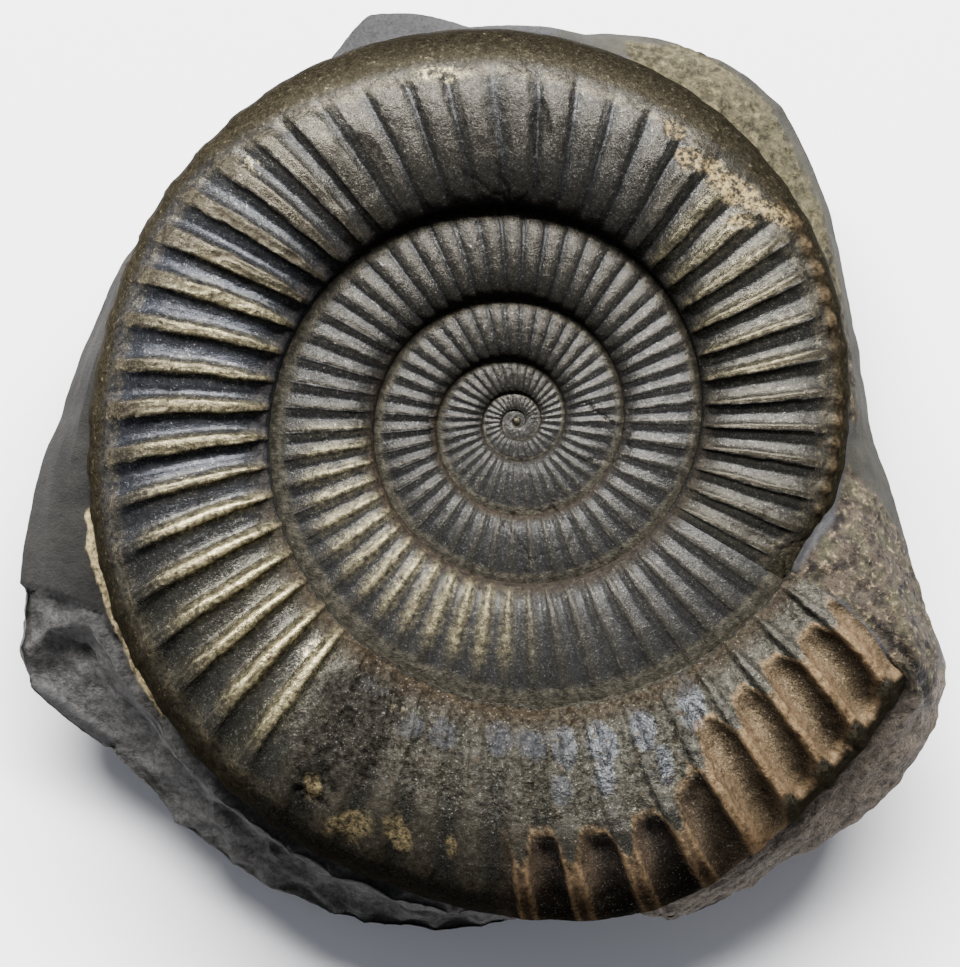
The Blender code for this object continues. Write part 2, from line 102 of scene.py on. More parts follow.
# The stone's rows: angle, outline radius and height, shoulder radius and height, height at the shell
STONE_ROWS = (
    (0, 30.2, -5.5, 28.9, -2.8, -1.6),
    (8, 29.7, -5.5, 28.8, -2.8, -1.6),
    (16, 29.9, -5.5, 29.1, -2.8, -1.6),
    (24, 30.7, -5.2, 29.8, -2.8, -1.6),
    (31, 31.6, -5.0, 30.6, -2.6, -1.4),
    (42, 33.8, -4.6, 32.0, -2.2, -1.2),
    (50, 35.3, -4.4, 33.2, -2.0, -1.0),
    (60, 35.6, -4.2, 33.6, -1.8, -0.8),
    (70, 35.0, -4.4, 33.4, -2.0, -1.0),
    (80, 33.7, -4.6, 32.8, -2.6, -1.6),
    (97, 34.1, -5.0, 32.8, -3.2, -2.2),
    (104, 36.2, -5.6, 34.4, -4.4, -3.0),
    (110, 37.2, -5.8, 35.2, -4.6, -3.2),
    (117, 35.2, -6.2, 34.2, -4.6, -3.2),
    (130, 34.5, -6.5, 33.4, -4.4, -3.0),
    (148, 35.0, -6.0, 34.0, -3.6, -2.4),
    (158, 36.5, -5.6, 35.0, -2.4, -1.2),
    (169, 37.4, -5.2, 36.0, -1.6, -0.8),
    (179, 39.0, -5.2, 37.2, -1.6, -0.8),
    (189, 42.0, -5.2, 38.6, -1.8, -0.8),
    (199, 45.1, -5.6, 40.0, -2.2, -1.0),
    (205, 47.6, -7.4, 41.0, -2.8, -1.4),
    (209, 47.6, -8.6, 40.6, -3.0, -1.8),
    (218, 45.2, -9.0, 40.6, -2.8, -2.2),
    (230, 45.2, -9.2, 41.2, -2.8, -2.4),
    (244, 45.6, -9.2, 41.9, -3.0, -2.6),
    (253, 45.3, -9.2, 42.4, -3.2, -2.8),
    (262, 44.7, -9.0, 42.8, -4.0, -3.0),
    (268, 43.6, -8.6, 42.4, -4.4, -3.2),
    (275, 42.5, -8.0, 41.6, -4.4, -3.0),
    (283, 42.9, -6.8, 42.0, -3.6, -2.4),
    (287, 45.2, -6.2, 43.6, -3.2, -2.0),
    (302, 44.2, -6.0, 42.8, -3.0, -1.6),
    (310, 44.9, -5.8, 42.2, -2.4, -1.2),
    (317, 45.2, -5.4, 42.0, -1.6, -0.6),
    (324, 44.4, -4.8, 41.6, 0.6, 0.4),
    (328, 43.2, -4.2, 40.2, 3.4, 4.4),
    (331, 42.0, -3.6, 38.6, 3.8, 5.2),
    (335, 38.7, -3.4, 35.6, 3.2, 5.0),
    (340, 35.9, -3.6, 32.6, 2.0, 4.0),
    (345, 34.0, -4.0, 30.8, 0.4, 2.0),
    (351, 32.4, -4.8, 29.6, -1.6, -0.5),
    (357, 30.7, -5.4, 28.8, -2.6, -1.4),
)
LEDGE_FROM = 208.0
LEDGE_TO = 262.0
LEDGE_DROP = 3.4
BELLY = ((0.985, 0.18), (0.90, 0.45), (0.74, 0.70))
BASE_SHARE = 0.60


def clamp(value, low=0.0, high=1.0):
    return max(low, min(high, value))


def smooth(low, high, value):
    share = clamp((value - low) / (high - low))
    return share * share * (3 - 2 * share)


def through_points(values, place):
    last = len(values) - 1
    place = clamp(place, 0.0, float(last))
    i = min(int(place), last - 1)
    share = place - i
    before = values[max(i - 1, 0)]
    start = values[i]
    end = values[i + 1]
    after = values[min(i + 2, last)]
    bend = 2 * before - 5 * start + 4 * end - after
    twist = 3 * (start - end) + after - before
    return 0.5 * (2 * start + (end - before) * share + bend * share**2 + twist * share**3)


def between(rows, key, column):
    if key <= rows[0][0]:
        return rows[0][column]
    for low, high in zip(rows, rows[1:]):
        if key <= high[0]:
            share = (key - low[0]) / (high[0] - low[0])
            return low[column] + share * (high[column] - low[column])
    return rows[-1][column]


def seam_radius(turn):
    if turn < SEAM_FROM_TURN:
        return SEAM_RADII[0] * math.exp(INNERMOST_GROWTH * (turn - SEAM_FROM_TURN))
    logs = [math.log(radius) for radius in SEAM_RADII]
    return math.exp(through_points(logs, (turn - SEAM_FROM_TURN) / SEAM_STEP))


def rim_radius(turn):
    return through_points(RIM_RADII, (turn - RIM_FROM_TURN) / RIM_STEP)


def opening(turn):
    return smooth(RIM_FROM_TURN, RIM_FROM_TURN + RIM_OPENS_OVER, turn)


def outer_radius(turn):
    bare = opening(turn)
    return seam_radius(turn) * (1 - bare) + rim_radius(turn) * bare


def half_thickness(turn):
    crushed = CRUSHED_SHARE * smooth(CRUSHED_FROM_TURN, LAST_TURN, turn)
    return HALF_THICKNESS_SHARE * (outer_radius(turn) + outer_radius(turn - 0.5)) * (1 - crushed)


def turn_of_rib(number):
    return between([(rib, turn) for turn, rib in RIB_ANCHORS], number, 1)


def rib_of_turn(turn):
    return between(RIB_ANCHORS, turn, 1)


def rib_size(turn):
    spacing = turn_of_rib(rib_of_turn(turn) + 0.5) - turn_of_rib(rib_of_turn(turn) - 0.5)
    height = RIB_HEIGHT_SHARE * spacing * math.tau * (seam_radius(turn - 1) + outer_radius(turn)) / 2
    for low, high, left in WORN_RIBS:
        worn = smooth(low - 0.02, low + 0.02, turn) * (1 - smooth(high - 0.02, high + 0.02, turn))
        height *= 1 - (1 - left) * worn
    return height * smooth(0.85, 1.4, turn) * (0.62 + 0.38 * smooth(4.85, 5.0, turn))


def sweep_at(turn):
    sweep = RIB_SWEEP * smooth(SWEEP_FROM_TURN, SWEEP_FULL_TURN, turn)
    return sweep + (BROKEN_END_SWEEP - RIB_SWEEP) * smooth(LAST_TURN - 0.12, LAST_TURN, turn)


class Value:
    """A number known at every point: one output of a node, with the usual arithmetic."""

    def __init__(self, bench, socket):
        self.bench = bench
        self.socket = socket

    def __rsub__(self, other):
        return self.bench.math("SUBTRACT", other, self)


def arithmetic(operation):
    return lambda self, other: self.bench.math(operation, self, other)


Value.__add__ = Value.__radd__ = arithmetic("ADD")
Value.__sub__ = arithmetic("SUBTRACT")
Value.__mul__ = Value.__rmul__ = arithmetic("MULTIPLY")
Value.__truediv__ = arithmetic("DIVIDE")
Value.__pow__ = arithmetic("POWER")


NOISE_MIDDLE = 0.5  # of the noise node, whose numbers lie close round it
NOISE_SPREAD = 3.0
FLAT = 1e-9  # a rule that changes less than this is taken as one number


class Bench:
    """A node tree being laid out: the nodes that shape trees and materials share."""

    def __init__(self, tree):
        self.tree = tree

    def node(self, kind, **settings):
        made = self.tree.nodes.new(kind)
        for name, value in settings.items():
            setattr(made, name, value)
        return made

    def plug(self, socket, value):
        if isinstance(value, Value):
            self.tree.links.new(value.socket, socket)
        elif value is not None:
            socket.default_value = value

    def got(self, kind, given, output=0, **settings):
        """One output of a new node, with its inputs given by name or by number."""
        made = self.node(kind, **settings)
        for label, value in given.items():
            self.plug(made.inputs[label], value)
        return Value(self, made.outputs[output])

    def math(self, operation, *values, limit=False):
        return self.got("ShaderNodeMath", dict(enumerate(values)), operation=operation, use_clamp=limit)

    def size(self, value):
        return self.math("ABSOLUTE", value)

    def lower(self, a, b):
        return self.math("MINIMUM", a, b)

    def higher(self, a, b):
        return self.math("MAXIMUM", a, b)

    def mix(self, a, b, share):
        return a + (b - a) * share

    def step(self, low, high, value):
        """0 below low and 1 above high, with a smooth rise between; a fall where low is above high."""
        if low > high:
            return 1.0 - self.step(high, low, value)
        given = {"Value": value, "From Min": low, "From Max": high}
        return self.got("ShaderNodeMapRange", given, interpolation_type="SMOOTHSTEP")

    def hump(self, centre, half_width, value):
        """1 at the centre, falling smoothly to 0 at half a width away."""
        return self.step(half_width, 0.0, self.size(value - centre))

    def follow(self, value, low, high, rule, points=96):
        """A curve that gives rule(value) between low and high."""
        xs = [low + (high - low) * i / (points - 1) for i in range(points)]
        ys = [rule(x) for x in xs]
        bottom, top = min(ys), max(ys)
        if top - bottom < FLAT:
            return value * 0.0 + bottom
        made = self.node("ShaderNodeFloatCurve")
        line = made.mapping.curves[0]
        for i, y in enumerate(ys):
            share = (i / (points - 1), (y - bottom) / (top - bottom))
            if i == 0:
                line.points[0].location = share
            elif i == points - 1:
                line.points[len(line.points) - 1].location = share
            else:
                line.points.new(*share)
        made.mapping.update()
        self.plug(made.inputs["Value"], (value - low) / (high - low))
        return Value(self, made.outputs[0]) * (top - bottom) + bottom

    def place(self, x, y, z=0.0):
        return self.got("ShaderNodeCombineXYZ", {0: x, 1: y, 2: z})

    def parts(self, vector):
        made = self.node("ShaderNodeSeparateXYZ")
        self.plug(made.inputs[0], vector)
        return [Value(self, socket) for socket in made.outputs]

    def noise(self, vector, scale, detail=2.0, roughness=0.5, shift=0.0):
        """Soft random hills, about 0 on average and mostly between -1 and 1. The scale is hills per unit."""
        spot = self.moved(vector, shift)
        given = {"Vector": spot, "Scale": scale, "Detail": detail, "Roughness": roughness}
        return (self.got("ShaderNodeTexNoise", given) - NOISE_MIDDLE) * NOISE_SPREAD

    def cells(self, vector, scale, feature="F1", output="Distance", shift=0.0):
        """Scattered cells: the distance to a cell's middle or border, or the cell's own random colour."""
        given = {"Vector": self.moved(vector, shift), "Scale": scale}
        return self.got("ShaderNodeTexVoronoi", given, output, feature=feature)

    def moved(self, vector, shift):
        if not shift:
            return vector
        given = {0: vector, 1: (shift, shift * 1.7, shift * 2.3)}
        return self.got("ShaderNodeVectorMath", given, operation="ADD")


class ShapeBench(Bench):
    """A Geometry Nodes tree. Sizes are its named inputs; guides are lines and outlines drawn on the plan."""

    def __init__(self, name, sizes, guides=()):
        super().__init__(bpy.data.node_groups.new(name, "GeometryNodeTree"))
        face = self.tree.interface
        face.new_socket("Geometry", in_out="INPUT", socket_type="NodeSocketGeometry")
        for label, value in sizes.items():
            face.new_socket(label, in_out="INPUT", socket_type="NodeSocketFloat").default_value = value
        for label in guides:
            face.new_socket(label, in_out="INPUT", socket_type="NodeSocketObject")
        face.new_socket("Geometry", in_out="OUTPUT", socket_type="NodeSocketGeometry")
        self.given = self.node("NodeGroupInput")
        self.shape = self.named("Geometry")

    def named(self, label):
        return Value(self, self.given.outputs[label])

    def attribute(self, name):
        return self.got("GeometryNodeInputNamedAttribute", {"Name": name}, "Attribute", data_type="FLOAT")

    def position(self):
        return self.got("GeometryNodeInputPosition", {})

    def distance(self, label, plan, kind="EDGES"):
        """How far each point's place on the plan is from a guide's lines or its filled outlines."""
        drawn = self.got("GeometryNodeObjectInfo", {"Object": self.named(label)}, "Geometry")
        given = {0: drawn, "Sample Position": plan}
        return self.got("GeometryNodeProximity", given, "Distance", target_element=kind)

    def blob(self, spot, x, y, wide, tall, turned=0.0, ragged=0.35):
        """1 inside a ragged oval on the plan, 0 outside. x and y are plan steps, as are the half sizes."""
        along, up, _ = self.parts(spot)
        cx, cy = on_plan(x, y)
        c, s = math.cos(math.radians(turned)), math.sin(math.radians(turned))
        dx, dy = along - cx, up - cy
        u = (dx * c + dy * s) / (wide * PLAN_STEP)
        v = (dy * c - dx * s) / (tall * PLAN_STEP)
        away = self.math("SQRT", u * u + v * v)
        return self.step(1.15, 0.75, away + self.rough * ragged)

    def blobs(self, spot, rows, ragged=0.35):
        found = None
        for row in rows:
            one = self.blob(spot, *row, ragged=ragged)
            found = one if found is None else self.higher(found, one)
        return found

    def reshape(self, kind, given, **settings):
        """Sends the shape through one more node."""
        self.shape = self.got(kind, {"Geometry": self.shape, **given}, **settings)

    def settle(self, position):
        """Puts every point at a position."""
        self.reshape("GeometryNodeSetPosition", {"Position": position})

    def lift(self, amount):
        """Moves every point along the surface's normal."""
        normal = self.got("GeometryNodeInputNormal", {})
        offset = self.got("ShaderNodeVectorMath", {0: normal, "Scale": amount}, operation="SCALE")
        self.reshape("GeometryNodeSetPosition", {"Offset": offset})

    def keep(self, name, value):
        """Stores a number at every point for the material."""
        given = {"Name": name, "Value": value}
        self.reshape("GeometryNodeStoreNamedAttribute", given, data_type="FLOAT", domain="POINT")

    def finish(self, material):
        self.reshape("GeometryNodeTransform", {"Scale": (METRES_PER_MM,) * 3})
        self.reshape("GeometryNodeRealizeInstances", {})
        self.reshape("GeometryNodeSetMaterial", {"Material": material})
        self.plug(self.node("NodeGroupOutput").inputs["Geometry"], self.shape)


def on_plan(x, y):
    return (x - PLAN_AXIS[0]) * PLAN_STEP, (PLAN_AXIS[1] - y) * PLAN_STEP


def add_object(name, data):
    thing = bpy.data.objects.new(name, data)
    bpy.context.scene.collection.objects.link(thing)
    return thing


def guide(name, loops, filled):
    """Lines or filled outlines on the plan, in plan steps, as an object that a tree can measure from."""
    points, edges, faces = [], [], []
    for loop in loops:
        first = len(points)
        points += [(*on_plan(x, y), 0.0) for x, y in loop]
        if filled:
            faces.append(tuple(range(first, len(points))))
        else:
            edges += [(i, i + 1) for i in range(first, len(points) - 1)]
    mesh = bpy.data.meshes.new(name)
    mesh.from_pydata(points, edges, faces)
    return add_object(name, mesh)


def clear_guides(guides):
    for thing in guides.values():
        bpy.data.objects.remove(thing, do_unlink=True)


def made_piece(name, sheet, bench, sizes, guides=None):
    """Runs a tree on a sheet of points and returns the result as a plain mesh object."""
    blank = add_object(name + "_blank", sheet)
    modifier = blank.modifiers.new("shape", "NODES")
    modifier.node_group = bench.tree
    given = {item.name: item.identifier for item in bench.tree.interface.items_tree if item.in_out == "INPUT"}
    for label, value in {**sizes, **(guides or {})}.items():
        modifier[given[label]] = value
    graph = bpy.context.evaluated_depsgraph_get()
    mesh = bpy.data.meshes.new_from_object(blank.evaluated_get(graph))
    bpy.data.objects.remove(blank, do_unlink=True)
    mesh.name = name
    mesh.shade_smooth()
    return add_object(name, mesh)


def sheet_of(name, points, faces, values):
    """A mesh with a number of each kind stored at every point."""
    mesh = bpy.data.meshes.new(name)
    mesh.from_pydata(points, [], faces)
    for label, numbers in values.items():
        mesh.attributes.new(label, "FLOAT", "POINT").data.foreach_set("value", numbers)
    mesh.validate()
    return mesh


def wrapped_grid(columns, rows):
    """Faces of a grid whose rows run round a tube that is open at its two ends."""
    faces = []
    for i in range(columns - 1):
        for j in range(rows):
            after = (j + 1) % rows
            faces.append((i * rows + j, i * rows + after, (i + 1) * rows + after, (i + 1) * rows + j))
    return faces


def close_ends(piece):
    """Closes a tube's two open ends with crisp edges."""
    work = bmesh.new()
    work.from_mesh(piece.data)
    rings = [edge for edge in work.edges if edge.is_boundary]
    made = bmesh.ops.holes_fill(work, edges=rings, sides=0)["faces"]
    bmesh.ops.triangulate(work, faces=made)
    for edge in rings:
        edge.smooth = False
    work.to_mesh(piece.data)
    work.free()


BARE_ROWS = (25, 46, 11)  # from the seam to the crown, from there to the rim, and on below the rim
COVERED_ROWS = (15, 25)  # from the seam to the crown, and from there to the next whorl
COVERED_REACH = 1.04  # how far an inner whorl goes into the next one, as a share across


def inner_side(count):
    """Rows up the side between the inner seam and the crown."""
    rows = []
    for i in range(count):
        angle = math.pi / 2 * i / count
        across = CROWN * (1 - math.cos(angle) ** (2 / INNER_ROUNDNESS))
        rows.append((across, math.sin(angle) ** (2 / INNER_ROUNDNESS), 0))
    return rows


def bare_section():
    """Rows round the last whorl: share across, rise towards the crown, and 1 on the buried side."""
    inner, outer, below = BARE_ROWS
    rows = [(-0.012, -0.35, 0), *inner_side(inner)]
    for i in range(outer):
        angle = math.pi / 2 * i / outer
        reach = math.sin(angle) ** (2 / OUTER_ROUNDNESS)
        rows.append((CROWN + (1 - CROWN) * reach, math.cos(angle) ** (2 / OUTER_ROUNDNESS), 0))
    for i in range(below):
        angle = math.pi / 2 * i / 20
        reach = math.cos(angle) ** (2 / OUTER_ROUNDNESS)
        rows.append((CROWN + (1 - CROWN) * reach, -math.sin(angle) ** (2 / OUTER_ROUNDNESS), 1))
    return rows + [(0.80, -0.84, 1), (0.55, -0.86, 1), (0.25, -0.84, 1), (0.0, -0.70, 1)]


def covered_section():
    """The same for the inner whorls, whose outer side lies under the next whorl."""
    inner, outer = COVERED_ROWS
    last = outer - 1
    outer_side = [(CROWN + (COVERED_REACH - CROWN) * i / last, 1 - i / last, 0) for i in range(outer)]
    buried = [(COVERED_REACH, -0.4, 1), (0.8, -0.84, 1), (0.3, -0.84, 1), (0.0, -0.5, 1)]
    return [(-0.02, -0.6, 0), *inner_side(inner), *outer_side, *buried]


def coil_sheet(name, rib_steps, rows):
    """The points of a stretch of the coil. rib_steps holds from rib, to rib and columns for each rib."""
    ribs = []
    for low, high, columns in rib_steps:
        count = round((high - low) * columns)
        ribs += [low + (high - low) * i / count for i in range(count)]
    ribs.append(rib_steps[-1][1])
    across, rises, under = zip(*rows)
    values = {
        "turn": [turn_of_rib(rib) for rib in ribs for _ in rows],
        "rib": [rib for rib in ribs for _ in rows],
        "across": list(across) * len(ribs),
        "rise": list(rises) * len(ribs),
        "under": list(under) * len(ribs),
    }
    points = [(0.0, 0.0, 0.0)] * (len(ribs) * len(rows))
    return sheet_of(name, points, wrapped_grid(len(ribs), len(rows)), values)


COIL_SIZES = {
    "Middle height": MIDDLE_HEIGHT,
    "Crown": CROWN,
    "Rib height": 1.15,
    "Rib width": 1.0,
    "Edge line": 0.16,
    "Rib wander": 0.045,
    "Grain": 0.034,
    "Swell": 0.10,
    "Window depth": 1.0,
    "Crust height": 0.26,
}
FINE_CURVE = 128  # points of a curve along the coil where the usual count is too coarse
FINEST_CURVE = 256
SPARE_TURN = 0.03  # how far the curves run on past both ends of a stretch
TINY = 0.001

# The rust-brown windows near the broken end, where the shell's outer layer is gone: turn, inner edge across
WINDOW_FROM = 5.748
WINDOW_TO = 5.917
WINDOW_EDGES = (
    *((5.74, 0.60), (5.80, 0.56), (5.822, 0.50), (5.832, 0.30), (5.86, 0.27), (5.88, 0.24), (5.90, 0.30)),
)
# Rib crests and edges that have crumbled: from turn, to turn, how much
CRUMBLED = ((5.385, 5.452, 0.9), (5.452, 5.52, 0.3), (5.09, 5.17, 0.5), (4.38, 4.50, 0.35), (4.60, 4.80, 0.4))
# Bright rubbed metal on the crests: from turn, to turn, how much
RUBBED = ((5.53, 5.645, 1.0), (5.42, 5.54, 0.45), (5.02, 5.14, 0.35), (4.50, 4.75, 0.6))

# Ovals on the plan: x, y, half width, half height, turned by degrees
SCALY = ((365, 700, 48, 30, -20), (345, 745, 52, 42, 25), (318, 780, 26, 24, 0))
PEELED = ((362, 168, 34, 24, -50), (352, 196, 26, 12, 10), (540, 128, 10, 26, 0), (728, 170, 26, 16, 40))
CREAM = ((352, 824, 22, 14, 0), (400, 832, 14, 22, 20), (452, 842, 7, 12, 0), (314, 786, 10, 14, 0))
PALE_ROCK = (
    *((735, 194, 28, 14, -30), (690, 160, 16, 10, -40), (712, 168, 12, 8, -40), (772, 214, 26, 8, -30)),
    *((676, 132, 12, 8, -30), (742, 222, 16, 6, 0)),
)
GOLD_SPOTS = ((315, 650, 16, 10, 50), (398, 705, 10, 6, 0), (250, 165, 16, 8, -30), (440, 76, 26, 8, 0))
# Painted sheen: bluish tint where bluish highlights fall
BLUE_SHEEN = (
    *((376, 686, 16, 10, -30), (412, 724, 15, 15, -10), (442, 732, 15, 18, 0), (500, 738, 14, 20, 0)),
    *((530, 742, 18, 16, 0), (565, 746, 14, 26, 0), (602, 740, 18, 22, 0), (642, 728, 14, 22, 0)),
    *((560, 786, 12, 18, 10), (604, 776, 12, 20, 10), (690, 704, 14, 30, 20), (664, 760, 9, 22, 10)),
)

# Lists along the coil: turn, value
# How plainly the crests stand out in colour from the grooves
LIVELY = (
    *((5.0, 0.8), (5.12, 0.6), (5.18, 0.35), (5.33, 0.45), (5.40, 1.0), (5.64, 1.0), (5.66, 0.15)),
    (5.92, 0.15),
)
# Where the ribs fade out towards the inner seam of the last whorl
FAINT = ((5.0, 0.0), (5.63, 0.0), (5.67, 0.8), (5.83, 1.0), (5.86, 0.5), (5.92, 0.4))
# Half the width of a rib's flat top as a share of the spacing
RIB_WIDTHS = (
    *((-0.5, 0.12), (1.0, 0.12), (3.0, 0.11), (4.4, 0.11), (4.9, 0.12), (5.08, 0.13), (5.15, 0.20)),
    *((5.20, 0.29), (5.32, 0.29), (5.37, 0.20), (5.43, 0.18), (5.52, 0.16), (5.58, 0.13), (5.66, 0.14)),
    *((5.70, 0.20), (5.77, 0.18), (5.81, 0.12), (5.92, 0.11)),
)
# How round the ribs are, between flat-topped with a one-sided slope (0) and a plain round (1)
ROUND_RIBS = (
    *((4.90, 0.55), (5.05, 0.15), (5.13, 0.5), (5.18, 0.85), (5.32, 0.85), (5.38, 0.25), (5.45, 0.0)),
    *((5.64, 0.0), (5.68, 0.5), (5.80, 0.3), (5.86, 0.0)),
)
# The share across where the ribs end towards the rim of the last whorl
RIB_ENDS = (
    *((4.90, 0.80), (5.0, 0.82), (5.12, 0.79), (5.18, 0.75), (5.32, 0.75), (5.36, 0.80), (5.40, 0.88)),
    *((5.50, 0.86), (5.60, 0.88), (5.92, 0.88)),
)
# How light the band outside the ribs is, with painted shade that makes it darkest at the bottom, where it
# faces away from the light
BAND_TONES_AND_SHADE = (
    *((4.90, 0.7), (5.10, 0.6), (5.30, 0.6), (5.38, 0.9), (5.47, 1.05), (5.52, 0.8), (5.58, 0.5)),
    *((5.64, 0.35), (5.92, 0.35)),
)
# How blue the grooves are
COOL_GROOVES = (
    *((4.88, 0.35), (5.12, 0.45), (5.2, 0.6), (5.35, 0.5), (5.42, 1.0), (5.52, 1.0), (5.58, 0.15)),
    (5.92, 0.15),
)
# How much darker the colour is along the last whorl; the inner whorls follow a rule of their own
DARKER = (
    *((4.9, 0.22), (5.0, 0.18), (5.10, 0.26), (5.25, 0.28), (5.36, 0.14), (5.45, 0.04), (5.55, 0.0)),
    (5.92, 0.0),
)
# Crust that fills the outer edge of an inner whorl against the next one
OUTER_CRUST = (
    *((1.0, 0.3), (2.0, 0.5), (2.3, 0.9), (2.8, 0.8), (3.05, 0.2), (3.25, 0.3), (3.4, 0.9), (3.75, 1.0)),
    *((3.95, 0.3), (4.1, 0.15), (4.35, 0.4), (4.5, 0.9), (4.7, 1.0), (4.88, 0.8), (4.91, 0.2)),
)
# The bead of crust in the seam inside the last whorl
BEAD = ((5.0, 0.0), (5.45, 0.2), (5.52, 0.8), (5.60, 0.9), (5.70, 0.8), (5.80, 1.0), (5.90, 1.0), (5.92, 0.6))
# Brown dirt at the inner edge of a whorl
INNER_RUST = (
    *((1.0, 0.4), (3.2, 0.4), (3.5, 0.9), (3.8, 0.9), (4.0, 0.5), (4.4, 0.5), (4.6, 1.0), (4.85, 0.8)),
    *((5.1, 0.3), (5.5, 0.6), (5.62, 1.0), (5.85, 0.9)),
)
# The lumps inside the rim
KNOBS = ((4.94, 0.0), (4.96, 0.7), (5.0, 0.8), (5.03, 0.35), (5.05, 1.0), (5.10, 1.0), (5.115, 0.0))

# What the coil's trees store for the shell's material
SHELL_MASKS = (
    *("crest", "top", "edge", "past_ribs", "band_tone", "late", "crumble", "rubbed", "rust", "crust"),
    *("scaly", "peeled", "pale", "cream", "gold", "sheen", "seam_crust", "lively", "knobs", "dark_rim"),
    *("faint", "dust", "lean", "cool", "darker", "cracks", "slope", "post", "weather"),
)


def darker(turn):
    if turn > DARKER[0][0]:
        return between(DARKER, turn, 1)
    return (0.10 + 0.28 * smooth(-0.3, 0.6, math.cos((turn - 0.35) * math.tau))) * smooth(0.0, 3.0, turn)


def roundness(turn):
    if turn > ROUND_RIBS[0][0]:
        return between(ROUND_RIBS, turn, 1)
    return 0.45 + 0.45 * smooth(0.2, 0.9, math.sin(turn * math.tau))


def dust(turn):
    """Grey dust, most of it on the side of the inner whorls that faces the front."""
    facing_front = smooth(0.0, 0.6, -math.sin(turn * math.tau))
    return 0.2 + (0.2 + 0.6 * facing_front) * (1.0 - smooth(4.9, 5.2, turn))


def wear(rows, turn, soft):
    """How much of a listed wear there is at a turn."""
    return max(
        much * smooth(low - soft, low + soft, turn) * smooth(-high - soft, -high + soft, -turn)
        for low, high, much in rows
    )


class CoilBench(ShapeBench):
    """The tree of a stretch of the coil, where rules and tables can follow the turn."""

    def span(self, place, low, high):
        self.turn, self.low, self.high = place, low, high

    def along(self, rule, points=96):
        return self.follow(self.turn, self.low, self.high, rule, points)

    def listed(self, rows, points=96):
        return self.along(lambda turn: between(rows, turn, 1), points)

    def worn(self, rows, soft=0.008, points=96):
        return self.along(lambda turn: wear(rows, turn, soft), points)


